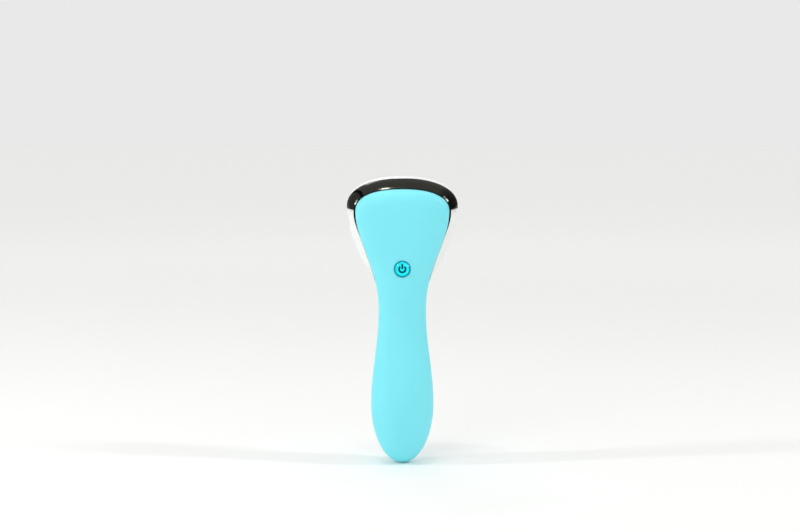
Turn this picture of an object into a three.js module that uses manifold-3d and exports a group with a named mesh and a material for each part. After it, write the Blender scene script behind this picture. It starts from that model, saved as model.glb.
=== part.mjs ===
// Handheld light therapy device for the face: a moulded paddle with a power button on its front
// and a head of small lamps behind a clear window on its back.
// Millimetres, +Z up along the handle, front towards -Y, origin at the middle of the grip.
import * as THREE from "three";
import { mergeVertices } from "three/addons/utils/BufferGeometryUtils.js";
import Module from "manifold-3d";

const wasm = await Module();
wasm.setup();
const { lerp, smoothstep, clamp } = THREE.MathUtils;

// Walls and the gap between neighbouring mouldings
const bodyWall = 2.2;
const headWall = 2.4;
const partGap = 0.3;

// Locating lip that the rear shells carry inside the cover's wall
const lipThickness = 1.2;
const lipClearance = 0.5;
const lipReach = 1.6;
const lipRoot = 1.4;

// Cell that the handle is built round, its saddles and pad. Heights are above the handle's tip.
const cellRadius = 9.2;
const cellLength = 65;
const cellLow = 23.5;
const cellBack = 1.2;
const cellGroove = 0.5;
const cellGrooveDrop = 3;
const cellRound = 0.8;
const cellCapRadius = 3.2;
const cellCapHeight = 0.9;
const saddleThickness = 2.2;
const saddleShares = [0.16, 0.84];
const padHalfWidth = 5.5;
const padLength = 30;

// Leads, and the lane that the charging leads take beside the cell
const leadRadius = 0.65;
const leadSpacing = 2.4;
const leadSides = 6;
const leadPitch = 6;
const leadBend = 5;
const leadFit = 0.05;
const ledLeadRise = 9;
const chargeLane = 1.7;
const chargeLeadFront = 2;

// Light head: a pick-shaped housing that starts above the cell, widest at headHeight
const cellHeadGap = 22.6;
const headDrop = 57.6;
const headRise = 19.4;
const headHalfWidth = 36;
const headTopSquareness = 2.35;
const headBottomSquareness = 1.75;
const headLow = cellLow + cellLength + cellHeadGap;
const headHeight = headLow + headDrop;
const headTop = headHeight + headRise;

// Body: handle and cover. The waist is sized by the cell and the lane beside it.
const gripHeight = 63.5;
const tipRound = 39;
const bellyHeight = 40;
const waistDrop = 11.1;
const crownRound = 14.6;
const headOverCover = 8;
const frontRoom = 1.8;
const bellySwell = 5;
const bellyFrontSwell = 4;
const bellyRearSwell = 3.9;
const crownInset = 5.4;
const crownFront = 11.5;
const crownRear = 16;
const flareLag = 1.2;
const handleSquareness = 2.2;
const crownSquareness = 3.1;
const topEdgeSquareness = 2.35;
const topFaceSquareness = 3.2;
const coverTop = headTop - headOverCover;
const crownHeight = coverTop - crownRound;
const waistHeight = headLow - waistDrop;
const leadLane = chargeLane + leadRadius + leadFit;
const waistHalfWidth = cellRadius + leadLane + lipThickness + lipClearance + bodyWall;
const waistFront = cellRadius - cellBack + bodyWall + frontRoom;
const waistRear = cellBack + cellRadius + bodyWall;
const bellyHalfWidth = waistHalfWidth + bellySwell;
const bellyFront = waistFront + bellyFrontSwell;
const bellyRear = waistRear + bellyRearSwell;
const crownHalfWidth = headHalfWidth - crownInset;

// Lamp board, lamps and their screws, measured back from the parting plane
const boardThickness = 1.6;
const ledBoardDepth = 6.4;
const ledBoardFit = 0.7;
const ledRowCounts = [4, 5, 4, 3, 2, 1];
const ledTopMargin = 14.9;
const ledLowMargin = 14.6;
const ledSideMargin = 13.6;
const ledRadius = 2.5;
const ledFlange = 0.4;
const ledFlangeHeight = 1;
const ledBarrel = 4;
const ledHoleClearance = 0.35;
const postRadius = 1.9;
const postMargin = 2.6;
const upperPostShare = 0.2;
const lowerPostShare = 0.52;
const screwRadius = 0.8;
const screwClearance = 0.2;
const screwHeadRadius = 1.8;
const screwHeadHeight = 1.1;
const screwCrownShare = 0.7;
const screwReach = 4.2;
const screwHoleSpare = 0.8;

// Window over the lamps, its gasket and the reflector
const windowLampGap = 1.1;
const rebateInset = 7;
const windowLedge = 1.5;
const rebateDepth = 2.5;
const gasketThickness = 0.6;
const windowProud = 0.8;
const windowEdge = 1.2;
const windowFit = 0.25;
const reflectorInset = 7.5;
const reflectorThickness = 4;
const cupRadius = 4.4;
const cupDepth = 2.5;
const openingInset = rebateInset + windowLedge;

// Depths of the housing's layers, from the parting plane to the back face
const ledBoardBack = ledBoardDepth + boardThickness;
const windowInner = ledBoardBack + ledBarrel + ledRadius + windowLampGap;
const rebateFloor = windowInner - gasketThickness;
const headDepth = rebateFloor + rebateDepth;
const windowOuter = headDepth + windowProud;
const headRearWall = 3.5;
const headEdgeRound = 2.7;
const rimDepth = 9.2;
const rimStep = 1.2;
const shoulderInset = 0.9;
const shoulderTopInset = 2.1;
const frontLip = 0.3;

// Trim: a hoop under the cover's rim that widens into a crescent over the top of the head
const hornGap = 0.45;
const hornRise = 8.8;
const hoopDepth = 1.4;
const hoopInset = 1.6;
const hoopLipLow = 0.2;
const hoopLipHigh = 1;
const hoopFlareStart = 21.2;
const hoopFlareEnd = 5.2;
const trimThickness = 1.1;
const trimTopShort = 0.8;
const trimBulge = 0.5;
const trimEdge = 0.4;
const trimOverhang = 0.15;
const trimEndDrop = 1.6;
const trimEndRise = 1.9;
const hornTop = headLow + hornRise;

// Power button, its ring and the switch under it
const buttonRise = 17.9;
const ringRadius = 5.35;
const ringWidth = 0.6;
const ringProud = 0.35;
const ringFlange = 1.4;
const ringFlangeThickness = 0.9;
const ringFit = 0.2;
const buttonFit = 0.15;
const buttonProud = 0.55;
const buttonDish = 0.35;
const buttonChamfer = 0.6;
const buttonFlange = 0.9;
const buttonFlangeThickness = 0.8;
const buttonLift = 0.2;
const buttonTravel = 0.5;
const stemRadius = 1.6;
const stemLength = 0.8;
const plungerProud = 1;
const plungerSeat = 0.8;
const switchSide = 6;
const switchThickness = 3.2;
const buttonHeight = headLow + buttonRise;

// Control board and what stands on it
const controlSideRoom = 5;
const controlBelow = 27.5;
const controlAbove = 21.5;
const controlCorner = 1.5;
const controlPostInset = 2.2;
const chipSide = 7;
const chipThickness = 1.2;
const chipRise = 2;
const chargerSide = 4.5;
const chargerDrop = 9;
const inductorRadius = 2.8;
const inductorThickness = 2.8;
const inductorGap = 0.5;
const connectorHeight = 4.5;
const connectorThickness = 2.2;
const connectorWall = 0.8;
const connectorGap = 0.5;
const connectorMargin = 1.2;
const controlHalfWidth = waistHalfWidth - controlSideRoom;

// Charging socket in the back of the handle, on its own small board
const socketHeight = 12.4;
const socketWidth = 8.94;
const socketThickness = 3.26;
const socketLength = 7.3;
const socketSheet = 0.35;
const socketBack = 1.1;
const socketRecess = 0.8;
const socketOverhang = 4.1;
const tongueWidth = 6.7;
const tongueThickness = 0.8;
const tongueShort = 1.4;
const portClearance = 0.35;
const chargeBoardThickness = 1.2;
const chargeBoardHalfWidth = 6.2;
const chargeBoardLength = 11.4;
const chargeTongueHalfWidth = 4.4;
const chargeTongueLength = 2;
const shelfThickness = 1.8;
const shelfReach = 4.7;
const shelfHalfWidth = 5;

// Fineness of the faceting
const outerSides = 36;
const innerSides = 24;
const tipSteps = 7;
const barrelSteps = 13;
const topSteps = 7;
const outlineSteps = 20;
const rimSteps = 14;
const edgeSteps = 3;
const bandSteps = 4;
const roundSides = 30;
const smallSides = 10;
const screwSides = 8;
const dishSteps = 3;
const domeSteps = 2;
const overrun = 1;
const weld = 1e-4;

// Materials
const matt = (color, roughness, metalness = 0) =>
  new THREE.MeshStandardMaterial({ color, roughness, metalness });
const softTouchAqua = matt(0x8cecf8, 0.5);
const whiteGloss = matt(0xf2f2ef, 0.25);
const blackChrome = matt(0x35352f, 0.12, 1);
const buttonAqua = matt(0x12d7ea, 0.15);
const ringTeal = matt(0x0a8ea3, 0.2);
const clearPlastic = new THREE.MeshStandardMaterial({
  color: 0xf4fbfd,
  roughness: 0.05,
  transparent: true,
  opacity: 0.35,
});
const greySilicone = matt(0xb9bdbf, 0.7);
const ledBlue = matt(0xbfd0f5, 0.1);
const ledRed = matt(0xf6c9c4, 0.1);
const boardGreen = matt(0x1f6b45, 0.5);
const boardWhite = matt(0xeceeea, 0.5);
const epoxyBlack = matt(0x1b1c1e, 0.55);
const nylonCream = matt(0xe8e1cf, 0.5);
const steel = matt(0xb7babd, 0.3, 1);
const sleeveGreen = matt(0x3f8f6a, 0.4);
const foamGrey = matt(0x55585c, 0.95);
const leadRed = matt(0xb32020, 0.5);
const leadBlack = matt(0x202022, 0.5);
const leadBlue = matt(0x2346a8, 0.5);

// Turns a closed geometry into a solid that can be cut and joined.
function solid(geometry) {
  const bare = geometry.index ? geometry.toNonIndexed() : geometry.clone();
  for (const attribute of Object.keys(bare.attributes)) {
    if (attribute !== "position") bare.deleteAttribute(attribute);
  }
  const merged = mergeVertices(bare, weld);
  const kept = [];
  const index = merged.index.array;
  for (let i = 0; i < index.length; i += 3) {
    const [a, b, c] = [index[i], index[i + 1], index[i + 2]];
    if (a !== b && b !== c && c !== a) kept.push(a, b, c);
  }
  const triVerts = new Uint32Array(kept);
  const vertProperties = merged.attributes.position.array;
  return new wasm.Manifold(new wasm.Mesh({ numProp: 3, vertProperties, triVerts }));
}

// Turns a cut or joined solid back into a geometry.
function surface(made) {
  const mesh = made.getMesh();
  const points = new Float32Array(mesh.numVert * 3);
  for (let i = 0; i < mesh.numVert; i++) {
    points.set(mesh.vertProperties.subarray(i * mesh.numProp, i * mesh.numProp + 3), i * 3);
  }
  const geometry = new THREE.BufferGeometry();
  geometry.setAttribute("position", new THREE.BufferAttribute(points, 3));
  geometry.setIndex(new THREE.BufferAttribute(mesh.triVerts, 1));
  const faceted = geometry.toNonIndexed();
  faceted.computeVertexNormals();
  return faceted;
}

// A closed skin through rings of equal count. Each end closes on its apex, or on its own middle.
function skin(rings, lowApex, highApex) {
  const middle = (ring) => ring.reduce((sum, p) => sum.add(p), new THREE.Vector3()).divideScalar(ring.length);
  const corners = [];
  const face = (a, b, c) => corners.push(a, b, c);
  const count = rings[0].length;
  const low = lowApex ?? middle(rings[0]);
  const high = highApex ?? middle(rings[rings.length - 1]);
  for (let j = 0; j < count; j++) {
    const k = (j + 1) % count;
    face(low, rings[0][k], rings[0][j]);
    for (let i = 0; i + 1 < rings.length; i++) {
      face(rings[i][j], rings[i][k], rings[i + 1][k]);
      face(rings[i][j], rings[i + 1][k], rings[i + 1][j]);
    }
    face(rings[rings.length - 1][j], rings[rings.length - 1][k], high);
  }
  let volume = 0;
  for (let i = 0; i < corners.length; i += 3) {
    const [a, b, c] = corners.slice(i, i + 3);
    volume += a.dot(b.clone().cross(c));
  }
  if (volume < 0) corners.reverse();
  return new THREE.BufferGeometry().setFromPoints(corners);
}

// How much of its full size a rounded end still has, at a share of the way to that end.
const closing = (share, squareness) => (1 - clamp(share, 0, 1) ** squareness) ** (1 / squareness);

// A size of the body at a height, eased from belly to waist to crown.
function alongBody(height, belly, waist, crown) {
  if (height <= waistHeight) return lerp(belly, waist, smoothstep(height, bellyHeight, waistHeight));
  const share = clamp((height - waistHeight) / (crownHeight - waistHeight), 0, 1);
  return lerp(waist, crown, smoothstep(share ** flareLag, 0, 1));
}
const tipClosing = (height, inset) => closing(1 - (height - inset) / (tipRound - inset), 2);
const topClosing = (height, inset, squareness) =>
  closing((height - crownHeight) / (coverTop - inset - crownHeight), squareness);
const bodyHalfWidth = (height, inset) =>
  (alongBody(height, bellyHalfWidth, waistHalfWidth, crownHalfWidth) - inset) *
  tipClosing(height, inset) *
  topClosing(height, inset, topEdgeSquareness);
const bodyDepth = (height, inset, belly, waist, crown) =>
  (alongBody(height, belly, waist, crown) - inset) *
  tipClosing(height, inset) *
  topClosing(height, inset, topFaceSquareness);
const bodyFront = (height, inset) => bodyDepth(height, inset, bellyFront, waistFront, crownFront);
const bodyRear = (height, inset) => bodyDepth(height, inset, bellyRear, waistRear, crownRear);
const bodySquareness = (height) => alongBody(height, handleSquareness, handleSquareness, crownSquareness);

// The body's section at a height, as a ring of points that has none on the parting plane.
function bodyRing(height, inset, sides) {
  const power = 2 / bodySquareness(height);
  return Array.from({ length: sides }, (_, j) => {
    const turn = (2 * Math.PI * (j + 0.5)) / sides;
    const across = Math.cos(turn);
    const back = Math.sin(turn);
    const depth = back < 0 ? bodyFront(height, inset) : bodyRear(height, inset);
    return new THREE.Vector3(
      bodyHalfWidth(height, inset) * Math.sign(across) * Math.abs(across) ** power,
      depth * Math.sign(back) * Math.abs(back) ** power,
      height,
    );
  });
}

// The whole moulded body, or the space inside it when inset by the wall.
function bodySolid(inset, sides) {
  const heights = [];
  for (let i = 1; i < tipSteps; i++) {
    heights.push(lerp(inset, tipRound, 1 - Math.cos((Math.PI / 2) * (i / tipSteps))));
  }
  for (let i = 0; i < barrelSteps; i++) heights.push(lerp(tipRound, crownHeight, i / barrelSteps));
  for (let i = 0; i < topSteps; i++) {
    heights.push(lerp(crownHeight, coverTop - inset, Math.sin((Math.PI / 2) * (i / topSteps))));
  }
  const rings = heights.map((height) => bodyRing(height, inset, sides));
  return solid(skin(rings, new THREE.Vector3(0, 0, inset), new THREE.Vector3(0, 0, coverTop - inset)));
}

// Half-width of the light head's outline at a height, for the given half-width, rise and drop.
const pickHalfWidth = (height, halfWidth, rise, drop) =>
  halfWidth *
  (height > headHeight
    ? closing((height - headHeight) / rise, headTopSquareness)
    : closing((headHeight - height) / drop, headBottomSquareness));

// An outline is a half-width at each height between its lowest and highest point.
const pick = (inset, topInset = inset, dropInset = inset) => ({
  low: headLow + dropInset,
  high: headTop - topInset,
  at: (height) =>
    pickHalfWidth(height, headHalfWidth - inset, headRise - topInset, headDrop - dropInset),
});
const coverEdge = (grow, headInset) => ({
  low: headLow + headInset,
  high: coverTop + grow,
  at: (height) =>
    Math.min(
      bodyHalfWidth(height, -grow),
      height > headHeight ? Infinity : pick(headInset).at(height),
    ),
});
const shoulder = (inset) => pick(shoulderInset + inset, shoulderTopInset + inset);
const hollowFront = coverEdge(frontLip - headWall, headWall);
const hollowShoulder = shoulder(headWall);

// The outline a share of the way from one outline to another, pushed out by a bulge.
function between(from, to, share, bulge) {
  const low = lerp(from.low, to.low, share) - bulge;
  const high = lerp(from.high, to.high, share) + bulge;
  const at = (height) => {
    const way = (height - low) / (high - low);
    const [near, far] = [from, to].map((outline) => outline.at(lerp(outline.low, outline.high, way)));
    return lerp(near, far, share) + bulge;
  };
  return { low, high, at };
}

// Points round an outline: up its right side and down its left, closer together at the ends.
function outlinePoints(outline) {
  const right = [];
  for (let i = 0; i <= outlineSteps; i++) {
    const share = (1 - Math.cos((Math.PI * i) / outlineSteps)) / 2;
    const height = lerp(outline.low, outline.high, share);
    const inside = i > 0 && i < outlineSteps;
    right.push(new THREE.Vector2(inside ? outline.at(height) : 0, height));
  }
  const left = right.slice(1, -1).reverse();
  return [...right, ...left.map((p) => new THREE.Vector2(-p.x, p.y))];
}

// A solid through outlines that stand one behind another.
function layered(layers) {
  const rings = layers.map(([depth, outline]) =>
    outlinePoints(outline).map((p) => new THREE.Vector3(p.x, depth, p.y)),
  );
  return solid(skin(rings));
}

// Layers that round off an outline's back edge. The outline is a function of how far it is inset.
const roundedEdge = (back, radius, outline) =>
  Array.from({ length: edgeSteps + 1 }, (_, i) => {
    const turn = (Math.PI / 2) * (i / edgeSteps);
    return [back - radius * (1 - Math.sin(turn)), outline(radius * (1 - Math.cos(turn)))];
  });

// A flat shape, drawn in width and height, given a thickness from one depth to another.
function slab(shape, front, back, curveSegments = smallSides) {
  const options = { depth: back - front, bevelEnabled: false, curveSegments };
  return new THREE.ExtrudeGeometry(shape, options).rotateX(Math.PI / 2).translate(0, back, 0);
}
const outlineSlab = (outline, front, back) =>
  solid(slab(new THREE.Shape(outlinePoints(outline)), front, back));

// A round rod along the depth direction, and a block between two corners.
const rod = (radius, x, z, front, back, sides = smallSides) =>
  solid(new THREE.CylinderGeometry(radius, radius, back - front, sides).translate(x, (front + back) / 2, z));
const block = (x0, x1, y0, y1, z0, z1) =>
  solid(
    new THREE.BoxGeometry(x1 - x0, y1 - y0, z1 - z0).translate((x0 + x1) / 2, (y0 + y1) / 2, (z0 + z1) / 2),
  );

// A turned piece about the depth direction: its profile runs from front to back as [radius, depth].
function turned(profile, sides = smallSides) {
  return new THREE.LatheGeometry(
    profile.map(([radius, depth]) => new THREE.Vector2(radius, depth)),
    sides,
  );
}

// A slot with round ends, drawn about its centre.
function slotShape(width, height, z = 0) {
  const radius = height / 2;
  const straight = width / 2 - radius;
  const shape = new THREE.Shape();
  shape.absarc(straight, z, radius, -Math.PI / 2, Math.PI / 2);
  shape.absarc(-straight, z, radius, Math.PI / 2, (3 * Math.PI) / 2);
  return shape;
}

const device = new THREE.Group();
device.position.z = -gripHeight;

function place(parent, name, geometry, material, x = 0, y = 0, z = 0) {
  const mesh = new THREE.Mesh(geometry.isBufferGeometry ? geometry : surface(geometry), material);
  mesh.name = name;
  mesh.position.set(x, y, z);
  parent.add(mesh);
  return mesh;
}

// Depths that several pieces share, measured from the parting plane at 0 with the back positive
const reach = headHalfWidth * 2;
const buttonFace = -bodyFront(buttonHeight, 0);
const ringSeat = buttonFace + bodyWall;
const ringBack = ringSeat + ringFlangeThickness;
const stemEnd = ringBack + buttonLift + buttonFlangeThickness + stemLength;
const switchFront = stemEnd + plungerProud;
const controlFront = switchFront + switchThickness;
const controlBack = controlFront + boardThickness;
const ringInnerRadius = ringRadius - ringWidth;
const flangeRadius = ringRadius + ringFlange;
const socketMouth = bodyRear(socketHeight, 0) - socketRecess;
const chargeBoardEnd = socketMouth - socketOverhang;
const chargeTop = socketHeight - socketThickness / 2;
const controlLow = buttonHeight - controlBelow;
const controlHigh = buttonHeight + controlAbove;
const controlPosts = [-1, 1].flatMap((side) =>
  [controlLow + controlPostInset, controlHigh - controlPostInset].map((z) => ({
    x: side * (controlHalfWidth - controlPostInset),
    z,
  })),
);
const hollowStart = hoopDepth - overrun;
const ledBoardShare = (ledBoardDepth - hollowStart) / (rimDepth - rimStep - hollowStart);
const ledBoardOutline = between(hollowFront, hollowShoulder, ledBoardShare, -ledBoardFit);
const ledBoardPosts = [-1, 1].flatMap((side) =>
  [headHeight + upperPostShare * headRise, headHeight - lowerPostShare * headDrop].map((z) => ({
    x: side * (ledBoardOutline.at(z) - postMargin),
    z,
  })),
);

// Screw: pan head in front, shank going back from the board's face it holds.
const screwProfile = (grip) => [
  [0, -screwHeadHeight],
  [screwHeadRadius * screwCrownShare, -screwHeadHeight],
  [screwHeadRadius, -screwHeadHeight / 2],
  [screwHeadRadius, 0],
  [screwRadius, 0],
  [screwRadius, grip + screwReach],
  [0, grip + screwReach],
];
const screwGeometry = turned(screwProfile(boardThickness), screwSides);

// Front cover
function frontCover() {
  const ahead = block(-reach, reach, -reach, 0, -overrun, coverTop + overrun);
  const rooted = bodySolid(bodyWall / 2, innerSides);
  let cover = bodySolid(0, outerSides).subtract(bodySolid(bodyWall, innerSides)).intersect(ahead);
  for (const { x, z } of controlPosts) {
    cover = cover.add(rod(postRadius, x, z, -bellyFront, controlFront).intersect(rooted));
  }
  for (const { x, z } of controlPosts) {
    const holeEnd = controlFront - screwReach - screwHoleSpare;
    cover = cover.subtract(rod(screwRadius + screwClearance, x, z, holeEnd, controlFront + overrun));
  }
  const hole = rod(ringRadius + ringFit, 0, buttonHeight, buttonFace - overrun, 0, roundSides);
  const seat = rod(flangeRadius + partGap, 0, buttonHeight, ringSeat, 0, roundSides);
  return cover.subtract(hole).subtract(seat);
}

// The body's outline at the parting plane: from one open end, round the closed end to the other.
function rimPoints(openHeight, closedHeight, grow) {
  const apex = closedHeight + Math.sign(closedHeight - openHeight) * grow(closedHeight);
  const leg = Array.from({ length: rimSteps }, (_, i) => {
    const height = lerp(openHeight, apex, Math.sin((Math.PI / 2) * (i / rimSteps)));
    return new THREE.Vector2(bodyHalfWidth(height, -grow(height)), height);
  });
  const otherLeg = leg.map((p) => new THREE.Vector2(-p.x, p.y)).reverse();
  return [...leg, new THREE.Vector2(0, apex), ...otherLeg];
}

// A band along that outline, from one depth to another.
function rimBand(openHeight, closedHeight, outerGrow, innerGrow, front, back) {
  const outer = rimPoints(openHeight, closedHeight, outerGrow);
  const inner = rimPoints(openHeight, closedHeight, innerGrow).reverse();
  return solid(slab(new THREE.Shape([...outer, ...inner]), front, back));
}

// Lip that stands inside the cover's wall, on a ledge rooted in the shell behind it
function locatingLip(shell, root, rootFront, openHeight, closedHeight) {
  const outside = () => -bodyWall - lipClearance;
  const inside = () => outside() - lipThickness;
  const rooted = () => -root;
  const rootBack = rootFront + lipRoot;
  const ledge = rimBand(openHeight, closedHeight, rooted, inside, rootFront + partGap, rootBack);
  return rimBand(openHeight, closedHeight, outside, inside, -lipReach, rootBack)
    .intersect(bodySolid(bodyWall + partGap, innerSides))
    .add(ledge.intersect(shell));
}

// Rear grip, with the cell's saddles, the charging board's shelf and the port
function rearGrip() {
  const inside = bodySolid(bodyWall, innerSides);
  const behind = block(-reach, reach, 0, reach, -overrun, hornTop);
  const outside = bodySolid(0, outerSides).intersect(behind);
  let grip = outside.subtract(inside).add(locatingLip(outside, bodyWall / 2, 0, headLow - hornGap, 0));
  const rooted = bodySolid(bodyWall / 2, innerSides).intersect(behind);
  const cell = solid(
    new THREE.CylinderGeometry(cellRadius + partGap, cellRadius + partGap, cellLength, roundSides)
      .rotateX(Math.PI / 2)
      .translate(0, cellBack, cellLow + cellLength / 2),
  );
  for (const share of saddleShares) {
    const z = cellLow + share * cellLength;
    const plate = block(-reach, reach, cellBack, reach, z - saddleThickness / 2, z + saddleThickness / 2);
    grip = grip.add(plate.intersect(rooted).subtract(cell));
  }
  const shelfTop = chargeTop - chargeBoardThickness;
  const shelfFront = chargeBoardEnd - shelfReach;
  const shelfLow = shelfTop - shelfThickness;
  const shelf = block(-shelfHalfWidth, shelfHalfWidth, shelfFront, reach, shelfLow, shelfTop);
  grip = grip.add(shelf.intersect(rooted));
  const portWidth = socketWidth + 2 * portClearance;
  const portThickness = socketThickness + 2 * portClearance;
  const port = slotShape(portWidth, portThickness, socketHeight);
  grip = grip.subtract(solid(slab(port, cellBack, reach)));
  return grip.subtract(outlineSlab(pick(-hornGap), -reach, reach));
}

// White housing of the light head
function headHousing() {
  const rearWallFront = headDepth - headRearWall;
  const outside = layered([
    [hoopDepth, coverEdge(frontLip, 0)],
    [rimDepth - rimStep, shoulder(0)],
    [rimDepth, pick(0)],
    ...roundedEdge(headDepth, headEdgeRound, pick),
  ]);
  const hollow = layered([
    [hollowStart, hollowFront],
    [rimDepth - rimStep, hollowShoulder],
    [rimDepth, pick(headWall)],
    [rearWallFront, pick(headWall)],
  ]);
  const lipRooting = headWall / 2 - frontLip;
  const lip = locatingLip(outside, lipRooting, hoopDepth, hornTop + partGap, coverTop);
  let housing = outside.subtract(hollow).add(lip);
  for (const { x, z } of ledBoardPosts) {
    housing = housing.add(rod(postRadius, x, z, ledBoardBack, rearWallFront + overrun));
  }
  for (const { x, z } of ledBoardPosts) {
    const holeEnd = ledBoardBack + screwReach + screwHoleSpare;
    housing = housing.subtract(rod(screwRadius + screwClearance, x, z, ledBoardBack - overrun, holeEnd));
  }
  const opening = outlineSlab(pick(openingInset), rearWallFront - partGap, headDepth + overrun);
  const rebate = outlineSlab(pick(rebateInset), rebateFloor, headDepth + overrun);
  return housing.subtract(opening).subtract(rebate);
}

// Hoop of the trim: clamped under the cover's rim, its lip widens from the neck towards the crown
function trimHoop() {
  const flare = (height) => smoothstep(height, headHeight - hoopFlareStart, headHeight - hoopFlareEnd);
  const lip = (height) => lerp(hoopLipLow, hoopLipHigh, flare(height));
  return rimBand(hornTop + partGap, coverTop, lip, () => -hoopInset, 0, hoopDepth);
}

// Crescent of the trim: a band that slopes back from the cover's rim, over the top of the head
function trimCrescent() {
  const standOff = trimThickness + partGap - shoulderInset;
  const bandFront = coverEdge(hoopLipHigh + trimOverhang, 0);
  const bandBack = (inset) => pick(inset - standOff, trimTopShort + inset);
  const edgeFront = rimDepth - rimStep - trimEdge;
  const band = Array.from({ length: bandSteps }, (_, i) => {
    const share = i / bandSteps;
    const bulge = trimBulge * Math.sin(Math.PI * share);
    return [share * edgeFront, between(bandFront, bandBack(0), share, bulge)];
  });
  const outside = layered([...band, ...roundedEdge(rimDepth - rimStep, trimEdge, bandBack)]);
  const seat = layered([
    [hoopDepth, coverEdge(frontLip + partGap, 0)],
    [rimDepth - rimStep, shoulder(-partGap)],
    [rimDepth, shoulder(-partGap)],
  ]);
  const opening = outlineSlab(coverEdge(-hoopInset / 2, hoopInset), -overrun, hoopDepth + overrun);
  const endAt = (x) => headHeight - trimEndDrop + (trimEndRise * (x - headHalfWidth)) / headHalfWidth;
  const kept = new THREE.Shape([
    new THREE.Vector2(0, endAt(0)),
    new THREE.Vector2(reach, endAt(reach)),
    new THREE.Vector2(reach, headTop + overrun),
    new THREE.Vector2(-reach, headTop + overrun),
    new THREE.Vector2(-reach, endAt(reach)),
  ]);
  return outside.subtract(seat).subtract(opening).intersect(solid(slab(kept, -overrun, headDepth)));
}

const shells = new THREE.Group();
place(shells, "front_cover", frontCover(), softTouchAqua);
place(shells, "rear_grip", rearGrip(), softTouchAqua);
place(shells, "light_head_housing", headHousing(), whiteGloss);
place(shells, "chrome_trim", trimHoop().add(trimCrescent()), blackChrome);

// Light head: gasket, window, reflector, board and lamps
const lightHead = new THREE.Group();
const gasket = outlineSlab(pick(rebateInset + windowFit), rebateFloor, windowInner).subtract(
  outlineSlab(pick(openingInset), rebateFloor - overrun, windowInner + overrun),
);
place(lightHead, "window_gasket", gasket, greySilicone);
place(
  lightHead,
  "light_window",
  layered([
    [windowInner, pick(rebateInset + windowFit)],
    ...roundedEdge(windowOuter, windowEdge, (inset) => pick(rebateInset + windowFit + inset)),
  ]),
  clearPlastic,
);

const ledTopRow = headTop - ledTopMargin;
const ledPitch = (2 * (headHalfWidth - ledSideMargin)) / (Math.max(...ledRowCounts) - 1);
const ledRowPitch = (ledTopRow - headLow - ledLowMargin) / (ledRowCounts.length - 1);
const leds = ledRowCounts.flatMap((count, row) =>
  Array.from({ length: count }, (_, i) => ({
    x: (i - (count - 1) / 2) * ledPitch,
    z: ledTopRow - row * ledRowPitch,
  })),
);
const reflectorBack = ledBoardBack + reflectorThickness;
const ledHoleRadius = ledRadius + ledFlange + ledHoleClearance;
let reflector = outlineSlab(pick(reflectorInset), ledBoardBack, reflectorBack);
for (const { x, z } of ledBoardPosts) {
  reflector = reflector.subtract(
    rod(postRadius + partGap, x, z, ledBoardBack - overrun, reflectorBack + overrun),
  );
}
const cupSlope = (cupRadius - ledHoleRadius) / cupDepth;
const cup = solid(
  turned([
    [0, ledBoardBack - overrun],
    [ledHoleRadius, ledBoardBack - overrun],
    [ledHoleRadius, reflectorBack - cupDepth],
    [cupRadius + cupSlope * overrun, reflectorBack + overrun],
    [0, reflectorBack + overrun],
  ]),
);
for (const { x, z } of leds) reflector = reflector.subtract(cup.translate(x, 0, z));
place(lightHead, "reflector_panel", reflector, boardWhite);

let ledBoard = outlineSlab(ledBoardOutline, ledBoardDepth, ledBoardBack);
for (const { x, z } of ledBoardPosts) {
  ledBoard = ledBoard.subtract(
    rod(screwRadius + screwClearance, x, z, ledBoardDepth - overrun, ledBoardBack + overrun),
  );
}
place(lightHead, "led_board", ledBoard, boardWhite);
ledBoardPosts.forEach(({ x, z }, i) => {
  place(lightHead, `led_board_screw_${i + 1}`, screwGeometry, steel, x, ledBoardDepth, z);
});

const ledDome = Array.from({ length: domeSteps }, (_, i) => {
  const turn = (Math.PI / 2) * (i / domeSteps);
  return [ledRadius * Math.cos(turn), ledBarrel + ledRadius * Math.sin(turn)];
});
const ledGeometry = turned([
  [0, 0],
  [ledRadius + ledFlange, 0],
  [ledRadius + ledFlange, ledFlangeHeight],
  [ledRadius, ledFlangeHeight],
  ...ledDome,
  [0, ledBarrel + ledRadius],
]);
leds.forEach(({ x, z }, i) => {
  const name = `led_${String(i + 1).padStart(2, "0")}`;
  place(lightHead, name, ledGeometry, i % 2 ? ledRed : ledBlue, x, ledBoardBack, z);
});

// Power button: its pieces stand in a group whose depth starts at the cover's face
const button = new THREE.Group();
button.position.set(0, buttonFace, buttonHeight);
const ringDepth = bodyWall + ringFlangeThickness;
place(
  button,
  "button_ring",
  turned(
    [
      [ringInnerRadius, -ringProud + ringWidth / 3],
      [ringInnerRadius + ringWidth / 3, -ringProud],
      [ringRadius - ringWidth / 3, -ringProud],
      [ringRadius, -ringProud + ringWidth / 3],
      [ringRadius, bodyWall],
      [flangeRadius, bodyWall],
      [flangeRadius, ringDepth],
      [ringInnerRadius, ringDepth],
      [ringInnerRadius, -ringProud + ringWidth / 3],
    ],
    roundSides,
  ),
  ringTeal,
);
const capRadius = ringInnerRadius - buttonFit;
const capFaceRadius = capRadius - buttonChamfer;
const capDish = Array.from({ length: dishSteps + 1 }, (_, i) => {
  const share = i / dishSteps;
  return [capFaceRadius * share, buttonDish * (1 - share ** 2) - buttonProud];
});
const capFlangeFront = ringDepth + buttonLift;
const capFlangeBack = capFlangeFront + buttonFlangeThickness;
place(
  button,
  "power_button",
  turned(
    [
      ...capDish,
      [capRadius, buttonChamfer / 2 - buttonProud],
      [capRadius, capFlangeFront],
      [capRadius + buttonFlange, capFlangeFront],
      [capRadius + buttonFlange, capFlangeBack],
      [stemRadius, capFlangeBack],
      [stemRadius, capFlangeBack + stemLength],
      [0, capFlangeBack + stemLength],
    ],
    roundSides,
  ),
  buttonAqua,
);
const plungerTop = capFlangeBack + stemLength;
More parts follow.
